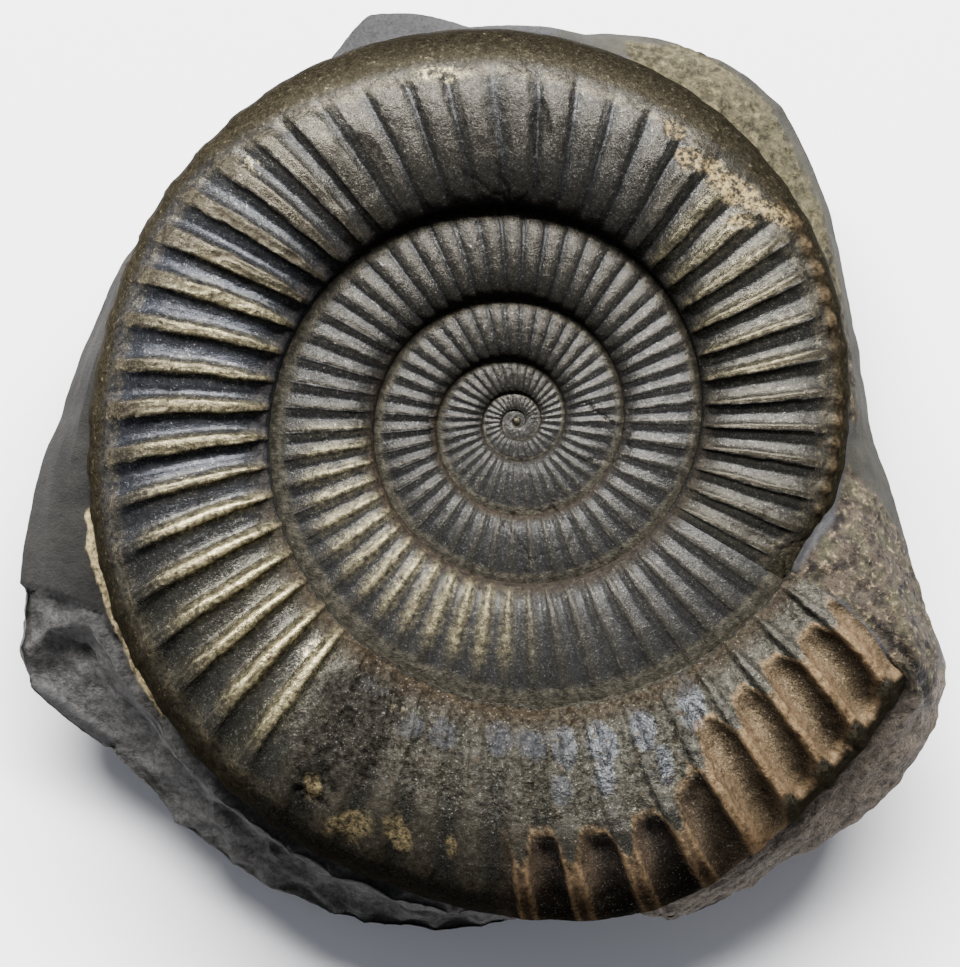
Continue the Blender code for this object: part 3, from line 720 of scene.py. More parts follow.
def coil_tree(name, from_turn, to_turn, bare, material):
    bench = CoilBench(name, COIL_SIZES)
    named, noise, step = bench.named, bench.noise, bench.step
    turn, across = bench.attribute("turn"), bench.attribute("across")
    rib, rise, under = bench.attribute("rib"), bench.attribute("rise"), bench.attribute("under")
    bench.span(turn, from_turn - SPARE_TURN, to_turn + SPARE_TURN)
    place = turn + bench.along(sweep_at) * across * across
    bench.span(place, bench.low, bench.high)
    inner = bench.along(lambda t: seam_radius(t - 1))
    outer = bench.along(outer_radius, FINE_CURVE)
    top = bench.along(half_thickness)
    foot = bench.along(lambda t: SEAM_HEIGHT_SHARE * half_thickness(t - 1))
    crown = named("Crown")
    radius = inner + (outer - inner) * across
    reach = bench.higher((across - crown) / (1.0 - crown), 0.0)
    covered = top * (1.0 - reach**COVERED_ROUNDNESS * (1 - SEAM_HEIGHT_SHARE))
    outside = bench.mix(covered, top * rise, bench.along(opening, FINE_CURVE)) if bare else covered
    inside = foot + (top - foot) * rise
    flank = bench.mix(inside, outside, bench.math("GREATER_THAN", across, crown - TINY))
    height = bench.mix(flank, top * rise, under) + named("Middle height")
    angle = place * math.tau
    east, north = radius * bench.math("COSINE", angle), radius * bench.math("SINE", angle)
    bench.settle(bench.place(east, north, height))

    spot = bench.position()
    along, up, above = bench.parts(spot)
    plan = bench.place(along, up)
    exposed = 1.0 - under
    bench.rough = noise(plan, 0.55, 3.0, 0.6, shift=2.0)
    zero = across * 0.0

    # Ribs
    wander = noise(plan, 0.30, 2.0, 0.5, shift=11.0) + noise(plan, 1.3, 2.0, 0.6, shift=5.0) * 0.5
    phase = rib + wander * named("Rib wander")
    number = bench.math("ROUND", phase)
    aside = phase - number
    away = bench.size(aside)
    grade = bench.got("ShaderNodeTexWhiteNoise", {"W": number + 3.3}, "Value", noise_dimensions="1D")
    width = bench.listed(RIB_WIDTHS, FINE_CURVE) * (grade * 0.4 + 0.80)
    width = width * named("Rib width") * (1.0 - step(0.30, 0.0, across) * 0.45)
    flat_top = step(0.045, -0.045, away - width)
    hollow = step(0.5, 0.12, away)
    edge = step(0.045, 0.0, bench.size(away - width + 0.03))
    lower_side = bench.along(lambda t: math.cos(t * math.tau))
    lean = step(0.35, -0.5, aside / width * lower_side)
    # The side away from the light is steep; the other one runs out far into the groove
    shaded = step(0.06, -0.06, aside * lower_side)
    long_side = step(0.18, -0.03, away - width) * step(0.5, 0.40, away)
    fillet = bench.mix(long_side, step(0.07, -0.03, away - width), shaded)
    rounded = bench.along(roundness, FINEST_CURVE)
    rubbed = bench.worn(RUBBED) * step(0.80, 0.5, across)
    crest = flat_top * 0.40 + fillet * 0.40 + hollow * 0.20
    crest = bench.mix(crest, 1.0 - (away * 2.0) ** 2.6, rounded)
    crest = bench.mix(crest, step(0.34, 0.0, away) * 0.7 + fillet * 0.3, rubbed * 0.6)
    edge = edge * (1.0 - rubbed * 0.8) * (1.0 - rounded * 0.7)
    ends = step(0.0, 0.09, across)
    if bare:
        past_ribs = across - bench.listed(RIB_ENDS, FINE_CURVE) + bench.rough * 0.012
        ends = ends * (1.0 - step(-0.045, 0.045, past_ribs) * 0.82)
        faint = bench.listed(FAINT) * step(0.64, 0.46, across)
    else:
        past_ribs = across - 0.90 + bench.rough * 0.02
        ends = ends * (1.0 - step(-0.10, 0.06, past_ribs) * 0.65)
        faint = zero
    tall = bench.along(rib_size) * named("Rib height") * ends * (grade * 0.25 + 0.88) * (1.0 - faint * 0.38)

    # Wear
    crumbs = noise(spot, 0.9, 4.0, 0.75, shift=9.0)
    crumble = bench.worn(CRUMBLED) * step(0.0, 0.25, across) * flat_top * ends * step(-0.1, 0.5, crumbs)
    grain = noise(spot, 1.6, 5.0, 0.68)
    aside_by, up_by = (noise(plan, 0.9, 4.0, 0.7, shift) * 0.6 for shift in (0.0, 21.0))
    jagged = bench.place(along + aside_by, up + up_by)
    cracks = step(0.020, 0.0, bench.cells(jagged, 0.17, feature="DISTANCE_TO_EDGE"))
    cracks = cracks * step(0.15, 0.5, noise(plan, 0.09, 2.0, 0.5, shift=23.0)) * exposed
    lift = tall * (crest - 0.45 + edge * (lean * 0.8 + 0.2) * named("Edge line"))
    lift += grain * named("Grain") * exposed
    lift += noise(plan, 0.22, 2.0, 0.5) * named("Swell") * exposed * step(0.0, 0.1, across)
    lift = lift - crumble * (0.20 + crumbs * 0.16) - cracks * 0.12
    lumps = noise(spot, 0.7, 4.0, 0.6, shift=14.0) * 0.30 + bench.cells(spot, 1.1) * 0.22 - 0.1
    lift += faint * lumps

    masks = {
        "crest": crest * ends,
        "top": bench.mix(flat_top, step(0.46, 0.34, away), rounded) * ends,
        "past_ribs": past_ribs,
        "edge": edge * ends * (1.0 - crumble),
        "crumble": crumble,
        "cracks": cracks,
        "rubbed": rubbed,
        "faint": faint,
        "dust": bench.along(dust, FINEST_CURVE),
        "darker": bench.along(darker),
        "seam_crust": seam_crust(bench, across, bare),
        # The last whorl has its own lists for these
        "lean": lean,
        "band_tone": zero + 0.8,
        "cool": zero + 0.65,
        "lively": zero + 0.5,
    }
    if bare:
        # Windows with their crusted rims
        gone = bench.worn(((WINDOW_FROM, WINDOW_TO, 1.0),), 0.002, FINE_CURVE) * exposed
        ragged = noise(plan, 1.4, 3.0, 0.7, shift=17.0)
        late = bench.along(lambda t: smooth(5.81, 5.835, t))
        arch = step(0.02, 0.30, away)
        inner_edge = bench.listed(WINDOW_EDGES, FINE_CURVE) + 0.16 - arch * 0.16
        beyond = across - (inner_edge + bench.rough * 0.020 + ragged * 0.022)
        low_end = 1.0 - step(0.90, 0.985, across)
        # Near the broken end the windows are closed towards the rim as well
        shut = bench.along(lambda t: smooth(5.845, 5.852, t))
        outer_edge = 0.92 - step(0.30, 0.04, away) * 0.12 + bench.rough * 0.015 + ragged * 0.015
        past = (across - outer_edge) * shut
        window = step(-0.004, 0.022, beyond) * gone * step(0.022, -0.004, past)
        post = 0.13 - late * 0.07
        trough = bench.lower(bench.higher((away - post - bench.rough * 0.01) / (0.5 - post), 0.0), 1.0)
        floor = (1.0 - (1.0 - trough) ** 2.2) * step(0.0, 0.12, beyond)
        thick = 0.026 + ragged * 0.012
        inner_rim = step(0.0, -0.024, bench.size(beyond + 0.006) - thick)
        outer_rim = step(0.0, -0.024, bench.size(across - outer_edge) - thick) * shut
        rim_line = bench.higher(inner_rim, outer_rim) * gone * step(0.07, -0.02, past)
        ridge_line = bench.hump(post * 0.9, 0.065, away + ragged * 0.012) * window
        crusted = 0.75 + noise(spot, 1.1, 3.0, 0.7, shift=6.0) * 0.45
        lift -= window * floor * low_end * named("Window depth")
        lift += (rim_line + ridge_line * 0.7) * low_end * named("Crust height") * crusted
        lift += window * (grain * 0.03 + noise(spot, 0.7, 3.0, 0.6, shift=1.0) * 0.06)
        lift += seam_bead(bench, across, spot)
        knobs = rim_knobs(bench, phase, across, exposed)
        lift += knobs * (0.80 + noise(spot, 1.1, 3.0, 0.7, shift=19.0) * 0.3)
        rust = window * step(16.9, 18.4, above + ragged * 0.9)
        # Scaly, peeled and crusted patches
        scaly = bench.blobs(plan, SCALY)
        flakes, _, _ = bench.parts(bench.cells(bench.place(along, up * 1.6), 0.95, output="Color"))
        chips, _, _ = bench.parts(bench.cells(bench.place(along, up * 1.4), 1.9, output="Color"))
        lift += scaly * ((flakes - 0.5) * 0.36 + (chips - 0.5) * 0.26 + crumbs * 0.12)
        lift -= scaly * flat_top * tall * 0.35
        peeled = bench.blobs(plan, PEELED)
        lift -= peeled * (0.14 + grain * 0.08) * exposed
        pale = bench.blobs(plan, PALE_ROCK, 0.55)
        lift += pale * (noise(spot, 1.0, 4.0, 0.7, shift=8.0) * 0.13 - 0.05 - flat_top * tall * 0.35)
        outward = bench.along(lambda t: smooth(5.50, 5.56, t)) * step(0.35, 0.75, across)
        masks.update({
            "rust": rust,
            "late": late,
            "crust": bench.higher(rim_line, ridge_line),
            "knobs": knobs,
            "slope": bench.math("FRACT", phase) * window,
            "post": window * step(0.09, 0.0, away - post),
            # Painted shadow in the early windows towards the rim
            "dark_rim": (1.0 - late) * rust * step(0.74, 0.94, across),
            "weather": bench.along(lambda t: smooth(5.64, 5.665, t) * (1 - smooth(5.75, 5.80, t))),
            "lean": lean * bench.mix(zero + 1.0, step(0.80, 0.30, across), step(0.2, 0.6, rubbed)),
            "scaly": scaly,
            "peeled": peeled,
            "pale": pale,
            "cream": bench.blobs(plan, CREAM, 0.6),
            "gold": bench.blobs(plan, GOLD_SPOTS),
            "sheen": bench.blobs(plan, BLUE_SHEEN),
            "band_tone": bench.listed(BAND_TONES_AND_SHADE),
            "cool": bench.listed(COOL_GROOVES),
            "lively": bench.listed(LIVELY) * (1.0 - outward * 0.8),
        })
    for label in SHELL_MASKS:
        bench.keep(label, masks.get(label, zero))
    bench.lift(lift)
    bench.finish(material)
    return bench


def rim_knobs(bench, phase, across, exposed):
    """Rounded brown lumps, two to a rib, in a row just inside the rim."""
    beat = bench.size(bench.math("FRACT", phase * 1.6) - 0.5)
    row = bench.hump(0.895, 0.060, across + bench.rough * 0.012)
    return row * (0.35 + bench.step(0.45, 0.05, beat) * 0.65) * bench.listed(KNOBS) * exposed


def seam_bead(bench, across, spot):
    """A thin bead of crust that lies in the seam inside the last whorl."""
    bead = bench.hump(0.026, 0.032, across + bench.rough * 0.012) * bench.listed(BEAD)
    return bead * (0.34 + bench.noise(spot, 0.9, 3.0, 0.7, shift=12.0) * 0.22)


def seam_crust(bench, across, bare):
    """Crust along the seams: above 0 for grey-tan at the outer edge, below 0 for brown at the inner one."""
    brown = bench.step(0.14, 0.02, across + bench.rough * 0.03) * bench.listed(INNER_RUST)
    if bare:
        bead = bench.hump(0.012, 0.020, across + bench.rough * 0.012) * bench.listed(BEAD)
        return bead - brown * bench.step(0.0, 0.03, across)
    return bench.step(0.80, 0.93, across + bench.rough * 0.05) * bench.listed(OUTER_CRUST) - brown


def make_coil(shell_finish):
    split = turn_of_rib(SPLIT_RIB)
    inner_tree = coil_tree("inner_whorls", FIRST_TURN, split, False, shell_finish)
    inner_sheet = coil_sheet(
        "inner_whorls",
        ((-45, 0, 4), (0, 30, 10), (30, 69, 10), (69, 112, 12), (112, SPLIT_RIB, 14)),
        covered_section(),
    )
    inner = made_piece("inner_whorls", inner_sheet, inner_tree, COIL_SIZES)
    last_tree = coil_tree("last_whorl", split, LAST_TURN, True, shell_finish)
    last_sheet = coil_sheet("last_whorl", ((SPLIT_RIB, rib_of_turn(LAST_TURN), 20),), bare_section())
    last = made_piece("last_whorl", last_sheet, last_tree, COIL_SIZES)
    add_first_chamber(inner)
    for piece in (inner, last):
        close_ends(piece)
        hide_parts("ammonite")
        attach(piece, "root")


CHAMBER_RADIUS = 0.00036  # in metres
CHAMBER_RISE = 0.6  # of its middle above the coil's, as a share of the first whorl's half thickness
CHAMBER_FLATNESS = 0.7


def add_first_chamber(piece):
    """The bead-shaped first chamber in the middle of the coil."""
    grown = bmesh.new()
    grown.from_mesh(piece.data)
    height = (COIL_SIZES["Middle height"] + half_thickness(0.0) * CHAMBER_RISE) * METRES_PER_MM
    place = Matrix.Translation((0, 0, height)) @ Matrix.Diagonal((1, 1, CHAMBER_FLATNESS, 1))
    bmesh.ops.create_uvsphere(grown, u_segments=32, v_segments=16, radius=CHAMBER_RADIUS, matrix=place)
    grown.to_mesh(piece.data)
    grown.free()


# How strongly a surface must send light back to look that bright in this studio: grey from 0 to 255, light
GREYS = (
    *((0, 0.0), (8, 0.0046), (20, 0.0106), (27, 0.016), (36, 0.0243), (47, 0.0368), (62, 0.0557)),
    *((78, 0.0844), (98, 0.128), (123, 0.194), (145, 0.294), (164, 0.446), (182, 0.676), (197, 1.02)),
    *((210, 1.55), (255, 6.0)),
)
WHITE_LIGHT = 6.2  # what a flat white surface sends back


def seen(red, green, blue):
    """The surface colour that is seen as these greys under the key panel."""
    return tuple(between(GREYS, level, 1) / WHITE_LIGHT for level in (red, green, blue))


class PaintBench(Bench):
    """A material's tree. Its colour is laid on layer by layer."""

    def __init__(self, name):
        self.material = bpy.data.materials.new(name)
        self.material.use_nodes = True
        super().__init__(self.material.node_tree)
        self.shader = self.tree.nodes["Principled BSDF"]
        self.colour = None

    def masks(self, names):
        """The numbers that the shape's tree stored at every point, by their names."""
        found = types.SimpleNamespace()
        for name in names:
            setattr(found, name, self.got("ShaderNodeAttribute", {}, "Fac", attribute_name=name))
        return found

    def spot(self):
        """Object coordinates in millimetres."""
        given = {0: self.got("ShaderNodeTexCoord", {}, "Object"), "Scale": MM_PER_METRE}
        return self.got("ShaderNodeVectorMath", given, operation="SCALE")

    def capped(self, value, factor):
        """The product, kept between 0 and 1."""
        return self.math("MULTIPLY", value, factor, limit=True)

    def blend(self, share, first, second):
        first, second = (c if isinstance(c, Value) else (*c, 1.0) for c in (first, second))
        given = {"Factor": share, "A": first, "B": second}
        return self.got("ShaderNodeMix", given, "Result", data_type="RGBA")

    def shade(self, texture, rise, dark, light):
        """From a dark to a light seen colour as the texture goes up its rise."""
        return self.blend(self.step(*rise, texture), seen(*dark), seen(*light))

    def lay(self, share, colour):
        """Lays a colour over what is there already."""
        self.colour = self.blend(share, self.colour, colour)

    def set(self, label, value):
        self.plug(self.shader.inputs[label], value)

    def bump(self, height, depth):
        self.set("Normal", self.got("ShaderNodeBump", {"Strength": 1.0, "Distance": depth, "Height": height}))


def pyrite_shell():
    bench = PaintBench("pyrite_shell")
    blend, shade, lay, step, higher = bench.blend, bench.shade, bench.lay, bench.step, bench.higher
    spot = bench.spot()
    mask = bench.masks(SHELL_MASKS)
    speck = bench.noise(spot, 5.5, 2.0, 0.8)
    fine = bench.noise(spot, 2.0, 4.0, 0.7, shift=3.0)
    gritty = fine + speck * 0.4
    broad = bench.noise(spot, 0.30, 4.0, 0.6, shift=7.0)
    dark_light = step(-1.3, 1.3, fine * 0.8 + speck * 0.85)
    # Painted glints: bright specks where the pyrite's tiny crystals catch the light
    sparkle = step(0.38, 0.85, speck + fine * 0.35)

    # Pyrite: steel grey in the grooves, brown bronze on the crests, pale gold where they are rubbed
    olive_groove = blend(dark_light, (0.012, 0.011, 0.008), (0.054, 0.051, 0.040))
    groove = blend(dark_light, (0.010, 0.011, 0.013), (0.048, 0.051, 0.060))
    groove = blend(mask.cool + broad * 0.25, olive_groove, groove)
    groove = blend(sparkle * 0.7, groove, (0.27, 0.27, 0.255))
    crest = blend(dark_light, (0.020, 0.0172, 0.0125), (0.080, 0.070, 0.050))
    crest = blend(sparkle * 0.45, crest, (0.28, 0.26, 0.205))
    on_crest = bench.math("MULTIPLY_ADD", broad, 0.15, mask.top * mask.lively, limit=True)
    bench.colour = blend(on_crest, groove, crest)
    wrinkle = shade(gritty, (-0.55, 0.7), (31, 30, 27), (160, 157, 146))
    # Painted highlight: the rib tops of the faint zone are laid light grey
    wrinkle = blend(mask.top * step(-0.7, 0.9, broad + fine * 0.5) * 0.55, wrinkle, seen(158, 158, 156))
    lay(mask.faint * 0.8, wrinkle)
    # Painted sheen: a bluish tint laid where bluish highlights fall, with a lower roughness there
    blue = step(0.25, 1.05, mask.sheen + fine * 0.22) * step(-1.4, 0.9, fine + speck * 0.3)
    lay(blue * 0.55, (0.052, 0.060, 0.078))
    pebbles = bench.noise(spot, 0.9, 3.0, 0.62, shift=33.0)
    flakes = mask.faint * step(0.25, 0.55, pebbles)
    lay(flakes * 0.8, shade(fine, (-0.8, 0.8), (62, 54, 44), (150, 134, 108)))
    dust = shade(gritty, (-0.8, 0.9), (56, 55, 52), (112, 109, 103))
    lay(mask.dust * step(-0.9, 0.7, fine) * 0.55, dust)
    # The outer band towards the rim is olive brown, and the shoulder inside it is a brassy brown
    shoulder = bench.hump(0.0, 0.060, mask.past_ribs + broad * 0.02) * step(-0.5, 0.4, fine)
    lay(shoulder * 0.4, (0.130, 0.110, 0.070))
    band = step(0.0, 0.09, mask.past_ribs + broad * 0.02)
    # Painted shade: the band's tone list darkens it at the bottom of the last whorl
    olive = blend(dark_light * mask.band_tone * 0.5, (0.006, 0.005, 0.003), (0.125, 0.108, 0.070))
    lay(band * 0.92, olive)
    flecks = band * step(0.30, 0.85, gritty) * mask.band_tone * 0.55
    lay(flecks, (0.25, 0.215, 0.13))
    # Painted shade: the venter at the bottom of the last whorl, which faces away from the light, is laid
    # nearly black
    shaded_venter = step(0.65, 0.36, mask.band_tone) * step(-0.08, 0.06, mask.past_ribs)
    venter_shade = blend(dark_light, (0.004, 0.004, 0.003), (0.030, 0.026, 0.018))
    lay(shaded_venter * 0.85, venter_shade)
    gilded_edge = mask.edge * (mask.lively * 0.7 + 0.1) * mask.lean
    gild = bench.math("MULTIPLY_ADD", fine, 0.6, gilded_edge - 0.28, limit=True)
    gild = higher(gild, mask.rubbed * mask.crest * step(-0.9, 0.5, fine))
    gild = higher(gild, mask.gold * step(-0.2, 0.6, fine))
    gold = blend(step(-0.8, 0.9, fine + speck * 0.5), (0.07, 0.058, 0.030), (0.52, 0.45, 0.25))
    lay(gild * 0.85, gold)
    # The weathered zone's ribs are lighter than its grooves: partly its own colour, partly painted shade in
    # the grooves
    worn_rib = shade(fine + broad * 0.4, (-0.8, 0.9), (52, 48, 39), (116, 106, 88))
    worn_groove_and_shade = shade(speck + fine * 0.3, (-0.6, 1.1), (18, 17, 15), (78, 75, 68))
    worn = blend(step(0.15, 0.7, mask.crest + fine * 0.10), worn_groove_and_shade, worn_rib)
    lay(mask.weather * (1.0 - mask.faint * 0.4) * 0.75, worn)
    lay(mask.darker, (0.0, 0.0, 0.0))
    # Painted highlight: pale steel along one edge of each rib where the coil is laid darker
    edge_highlight = step(0.15, 0.85, mask.edge * mask.lean + fine * 0.3) * mask.darker * 1.4
    lay(edge_highlight, (0.27, 0.27, 0.275))
    # Crumbled crests and scales are grey-tan and dark
    rubble = shade(fine, (-0.7, 0.9), (38, 34, 28), (128, 118, 92))
    lay(mask.crumble * 0.8, rubble)
    scales = shade(fine, (-0.6, 1.0), (22, 20, 17), (112, 106, 96))
    lay(mask.scaly * 0.65, scales)
    lay(mask.peeled * 0.35, seen(80, 78, 72))
    chalk = shade(fine + speck * 0.3, (-0.8, 0.6), (78, 72, 56), (212, 204, 178))
    lay(mask.pale * step(-0.35, 0.30, fine + speck * 0.3 + broad * 0.4) * 0.85, chalk)
    cream = shade(fine, (-0.6, 0.8), (96, 86, 64), (186, 176, 146))
    lay(mask.cream * step(-0.7, 0.3, fine) * 0.85, cream)
    # Windows: brown floors with tan and cream rims
    early = shade(broad * 0.2 + speck * 0.9, (-0.7, 1.0), (44, 38, 36), (146, 135, 124))
    rust = shade(broad * 0.3 + speck * 0.9, (-0.9, 1.0), (58, 53, 47), (194, 183, 160))
    rust = blend(mask.late, early, rust)
    warm = shade(fine, (-1.0, 0.9), (84, 75, 62), (198, 182, 154))
    # Painted light and shade in each trough: tan on the side towards the light, dark grey on the far side;
    # the posts' tan is their own colour
    lit_side = step(0.52, 0.12, mask.slope + fine * 0.06) * (0.35 + mask.late * 0.4)
    tan_and_lit_share = higher(step(0.1, 0.9, broad) * 0.4, higher(mask.post * 0.8, lit_side))
    rust = blend(tan_and_lit_share, rust, warm)
    shaded_side = step(0.42, 0.80, mask.slope + fine * 0.07)
    rust = blend(shaded_side * (1.0 - mask.post) * 0.65, rust, seen(42, 37, 35))
    # Painted shadow: the early windows and their crusted rims go dark towards the rim
    rust = blend(mask.dark_rim * 0.9, rust, seen(18, 15, 13))
    lay(mask.rust * 0.95, rust)
    rim = shade(fine, (-0.9, 0.7), (70, 60, 46), (196, 182, 154))
    rim = blend(mask.dark_rim * 0.6, rim, seen(60, 48, 34))
    lay(mask.crust * step(-0.9, -0.1, fine), rim)
    # Seams
    tan = shade(fine, (-0.7, 0.9), (72, 70, 62), (152, 148, 134))
    lay(bench.capped(mask.seam_crust, 0.8), tan)
    brown = shade(fine, (-0.7, 0.9), (54, 43, 33), (130, 110, 82))
    lay(bench.capped(mask.seam_crust, -0.75), brown)
    lay(mask.cracks * 0.55, seen(40, 30, 24))
    knob = shade(fine, (-0.7, 0.7), (44, 38, 30), (152, 137, 106))
    lay(bench.capped(mask.knobs, 1.6), knob)
    # More painted glints on the windows and the faint zone
    lay(sparkle * (mask.rust * 0.25 + mask.faint * 0.30 + 0.08), (0.45, 0.43, 0.38))
    bench.set("Base Color", bench.colour)

    dull = higher(higher(mask.crumble, mask.pale), higher(mask.scaly * 0.7, mask.cream))
    dull = higher(dull, higher(mask.crust * 0.65, bench.size(mask.seam_crust)))
    dull = higher(dull, higher(mask.weather * 0.5, mask.faint * (0.62 - mask.sheen * 0.5)))
    dull = higher(dull, higher(mask.rust * 0.6, mask.knobs * 0.6))
    bench.set("Metallic", bench.capped(1.0 - dull, 0.78 - mask.dust * 0.30))
    rough = 0.255 + speck * 0.08 + fine * 0.05 + dull * 0.22 + band * 0.16
    rough = rough + mask.faint * 0.10 - mask.sheen * 0.08 - mask.rubbed * 0.04 + shaded_venter * 0.12
    bench.set("Roughness", bench.math("ADD", rough, 0.0, limit=True))
    bench.set("Specular IOR Level", 0.0)
    bench.set("Specular Tint", (0.25, 0.25, 0.25, 1.0))
    height = speck + bench.noise(spot, 10.0, 2.0, 0.8, shift=3.0) * 0.6 + fine * 1.2
    height = height * (1.0 + dull * 1.6) + pebbles * mask.faint * 9.0 + fine * mask.scaly * 3.0
    bench.bump(height, 0.000014)
    return bench.material


def shale():
    bench = PaintBench("grey_shale")
    blend, shade, lay, step = bench.blend, bench.shade, bench.lay, bench.step
    spot = bench.spot()
    mask = bench.masks((*STONE_ZONES, "crust", "pit"))
    speck = bench.noise(spot, 5.0, 3.0, 0.75)
    fine = bench.noise(spot, 1.6, 5.0, 0.7, shift=4.0)
    gritty = fine + speck * 0.4
    broad = bench.noise(spot, 0.25, 4.0, 0.6, shift=9.0)
    mottle = bench.noise(spot, 0.7, 4.0, 0.65, shift=15.0)
    grain = step(-1.2, 1.2, speck * 0.7 + fine * 0.6)
    bench.colour = blend(grain, seen(66, 66, 68), seen(142, 141, 143))
    slab = shade(speck * 0.5 + broad + fine * 0.3, (-1.2, 1.2), (62, 60, 57), (112, 109, 104))
    lay(mask.slab, slab)
    facet = shade(speck * 0.4 + fine, (-1.0, 1.2), (90, 90, 91), (180, 178, 176))
    lay(mask.facet, facet)
    rind = shade(speck * 0.4 + broad + fine * 0.3, (-1.0, 1.2), (78, 77, 68), (130, 127, 112))
    lay(mask.rind, rind)
    chunk = shade(speck * 0.6 + fine * 0.7, (-0.8, 0.9), (78, 75, 71), (200, 193, 184))
    # Painted glints: bright specks on the chunk
    chunk = blend(step(0.55, 0.95, speck) * 0.7, chunk, seen(210, 204, 192))
    lay(mask.chunk, chunk)
    brown = shade(mottle + fine * 0.6, (-0.5, 0.5), (52, 44, 41), (146, 132, 114))
    olive = bench.noise(spot, 0.45, 3.0, 0.6, shift=27.0)
    moss = shade(fine, (-0.8, 0.8), (96, 92, 70), (156, 153, 124))
    brown = blend(step(-0.2, 0.4, olive) * 0.7, brown, moss)
    brown = blend(step(0.15, 0.55, fine), brown, seen(192, 183, 160))
    _, up, _ = bench.parts(spot)
    # Lighter olive towards the top of the plan
    olive_towards_top = shade(fine + mottle * 0.4, (-0.8, 0.7), (70, 64, 48), (182, 177, 148))
    brown = blend(step(4.0, 14.0, up) * 0.55, brown, olive_towards_top)
    brown = blend(step(0.3, 0.7, speck) * 0.6, brown, seen(36, 30, 28))
    lay(mask.rough, brown)
    crust = shade(gritty, (-0.6, 0.5), (112, 104, 90), (224, 218, 202))
    lay(mask.crust, crust)
    lay(mask.pit * 0.9, seen(16, 14, 14))
    # Painted glints: white specks on the dark glossy crack
    lay(mask.pit * step(0.35, 0.6, speck + fine * 0.4), seen(214, 210, 204))
    bench.set("Base Color", bench.colour)
    rough = 0.72 + speck * 0.06 - mask.pit * 0.45
    bench.set("Roughness", bench.math("ADD", rough, 0.0, limit=True))
    bench.set("Specular IOR Level", 0.12)
    height = speck * 0.6 + fine * (0.8 + mask.rough * 1.2 + mask.facet * 0.5 + mask.chunk * 0.8)
    bench.bump(height, 0.00006)
    return bench.material


def rim_outline(angle):
    turn = angle / math.tau
    at_rim = (LAST_TURN + sweep_at(LAST_TURN)) % 1
    at_seam = LAST_TURN % 1
    if at_rim < turn < at_seam:
        share = (turn - at_rim) / (at_seam - at_rim)
        return rim_radius(LAST_TURN) * (1 - share) + rim_radius(RIM_FROM_TURN) * share
    return rim_radius(turn + (5 if turn <= at_rim else 4))


def stone_profile(degrees):
    rows = STONE_ROWS + ((360 + STONE_ROWS[0][0],) + STONE_ROWS[0][1:],)
    outline, edge_height, shoulder, shoulder_height, shell_height = (
        between(rows, degrees, column) for column in range(1, 6)
    )
    rim = rim_outline(math.radians(degrees))
    on_ledge = smooth(LEDGE_FROM - 4, LEDGE_FROM, degrees) * (1 - smooth(LEDGE_TO, LEDGE_TO + 6, degrees))
    foot = shoulder + (outline - shoulder) * (0.5 - 0.35 * on_ledge)
    foot_height = shoulder_height + (edge_height - shoulder_height) * 0.4
    foot_height += (shoulder_height - LEDGE_DROP - foot_height) * on_ledge
    points = [
        (rim * 0.86, shell_height - 6.5),
        (rim - 1.6, shell_height - 2.5),
        (rim - 0.6, shell_height),
        (shoulder, shoulder_height),
        (foot, foot_height),
        (outline, edge_height),
    ]
    for share, down in BELLY:
        points.append((outline * share - 0.4, edge_height - down * (MIDDLE_HEIGHT + edge_height)))
    points.append((outline * BASE_SHARE, -MIDDLE_HEIGHT))
    return points


STONE_COLUMNS = 640
STONE_ROW_STEPS = (6, 8, 22, 16, 26, 16, 20, 18, 14)  # rows from each point of the profile to the next


def stone_sheet():
    """The stone's points, in columns from under the shell over the edge down to the base."""
    points, levels = [], []
    for i in range(STONE_COLUMNS):
        degrees = 360 * i / STONE_COLUMNS
        profile = stone_profile(degrees)
        column = []
        for level, (low, high, steps) in enumerate(zip(profile, profile[1:], STONE_ROW_STEPS)):
            for k in range(steps):
                share = k / steps
                radius, height = (a + (b - a) * share for a, b in zip(low, high))
                column.append((radius, height, level + share))
        column.append((*profile[-1], len(profile) - 1))
        angle = math.radians(degrees)
        for radius, height, level in column:
            points.append((radius * math.cos(angle), radius * math.sin(angle), MIDDLE_HEIGHT + height))
            levels.append(level)
    rows = len(column)
    faces = []
    for i in range(STONE_COLUMNS):
        after = (i + 1) % STONE_COLUMNS
        for j in range(rows - 1):
            faces.append((i * rows + j, i * rows + j + 1, after * rows + j + 1, after * rows + j))
    faces.append(tuple(i * rows for i in range(STONE_COLUMNS)))
    faces.append(tuple(i * rows + rows - 1 for i in range(STONE_COLUMNS))[::-1])
    return sheet_of("matrix_stone", points, faces, {"level": levels})


STONE_SIZES = {"Lump height": 0.35, "Grain": 0.085, "Facet depth": 0.75, "Step": 0.6, "Crust height": 0.35}

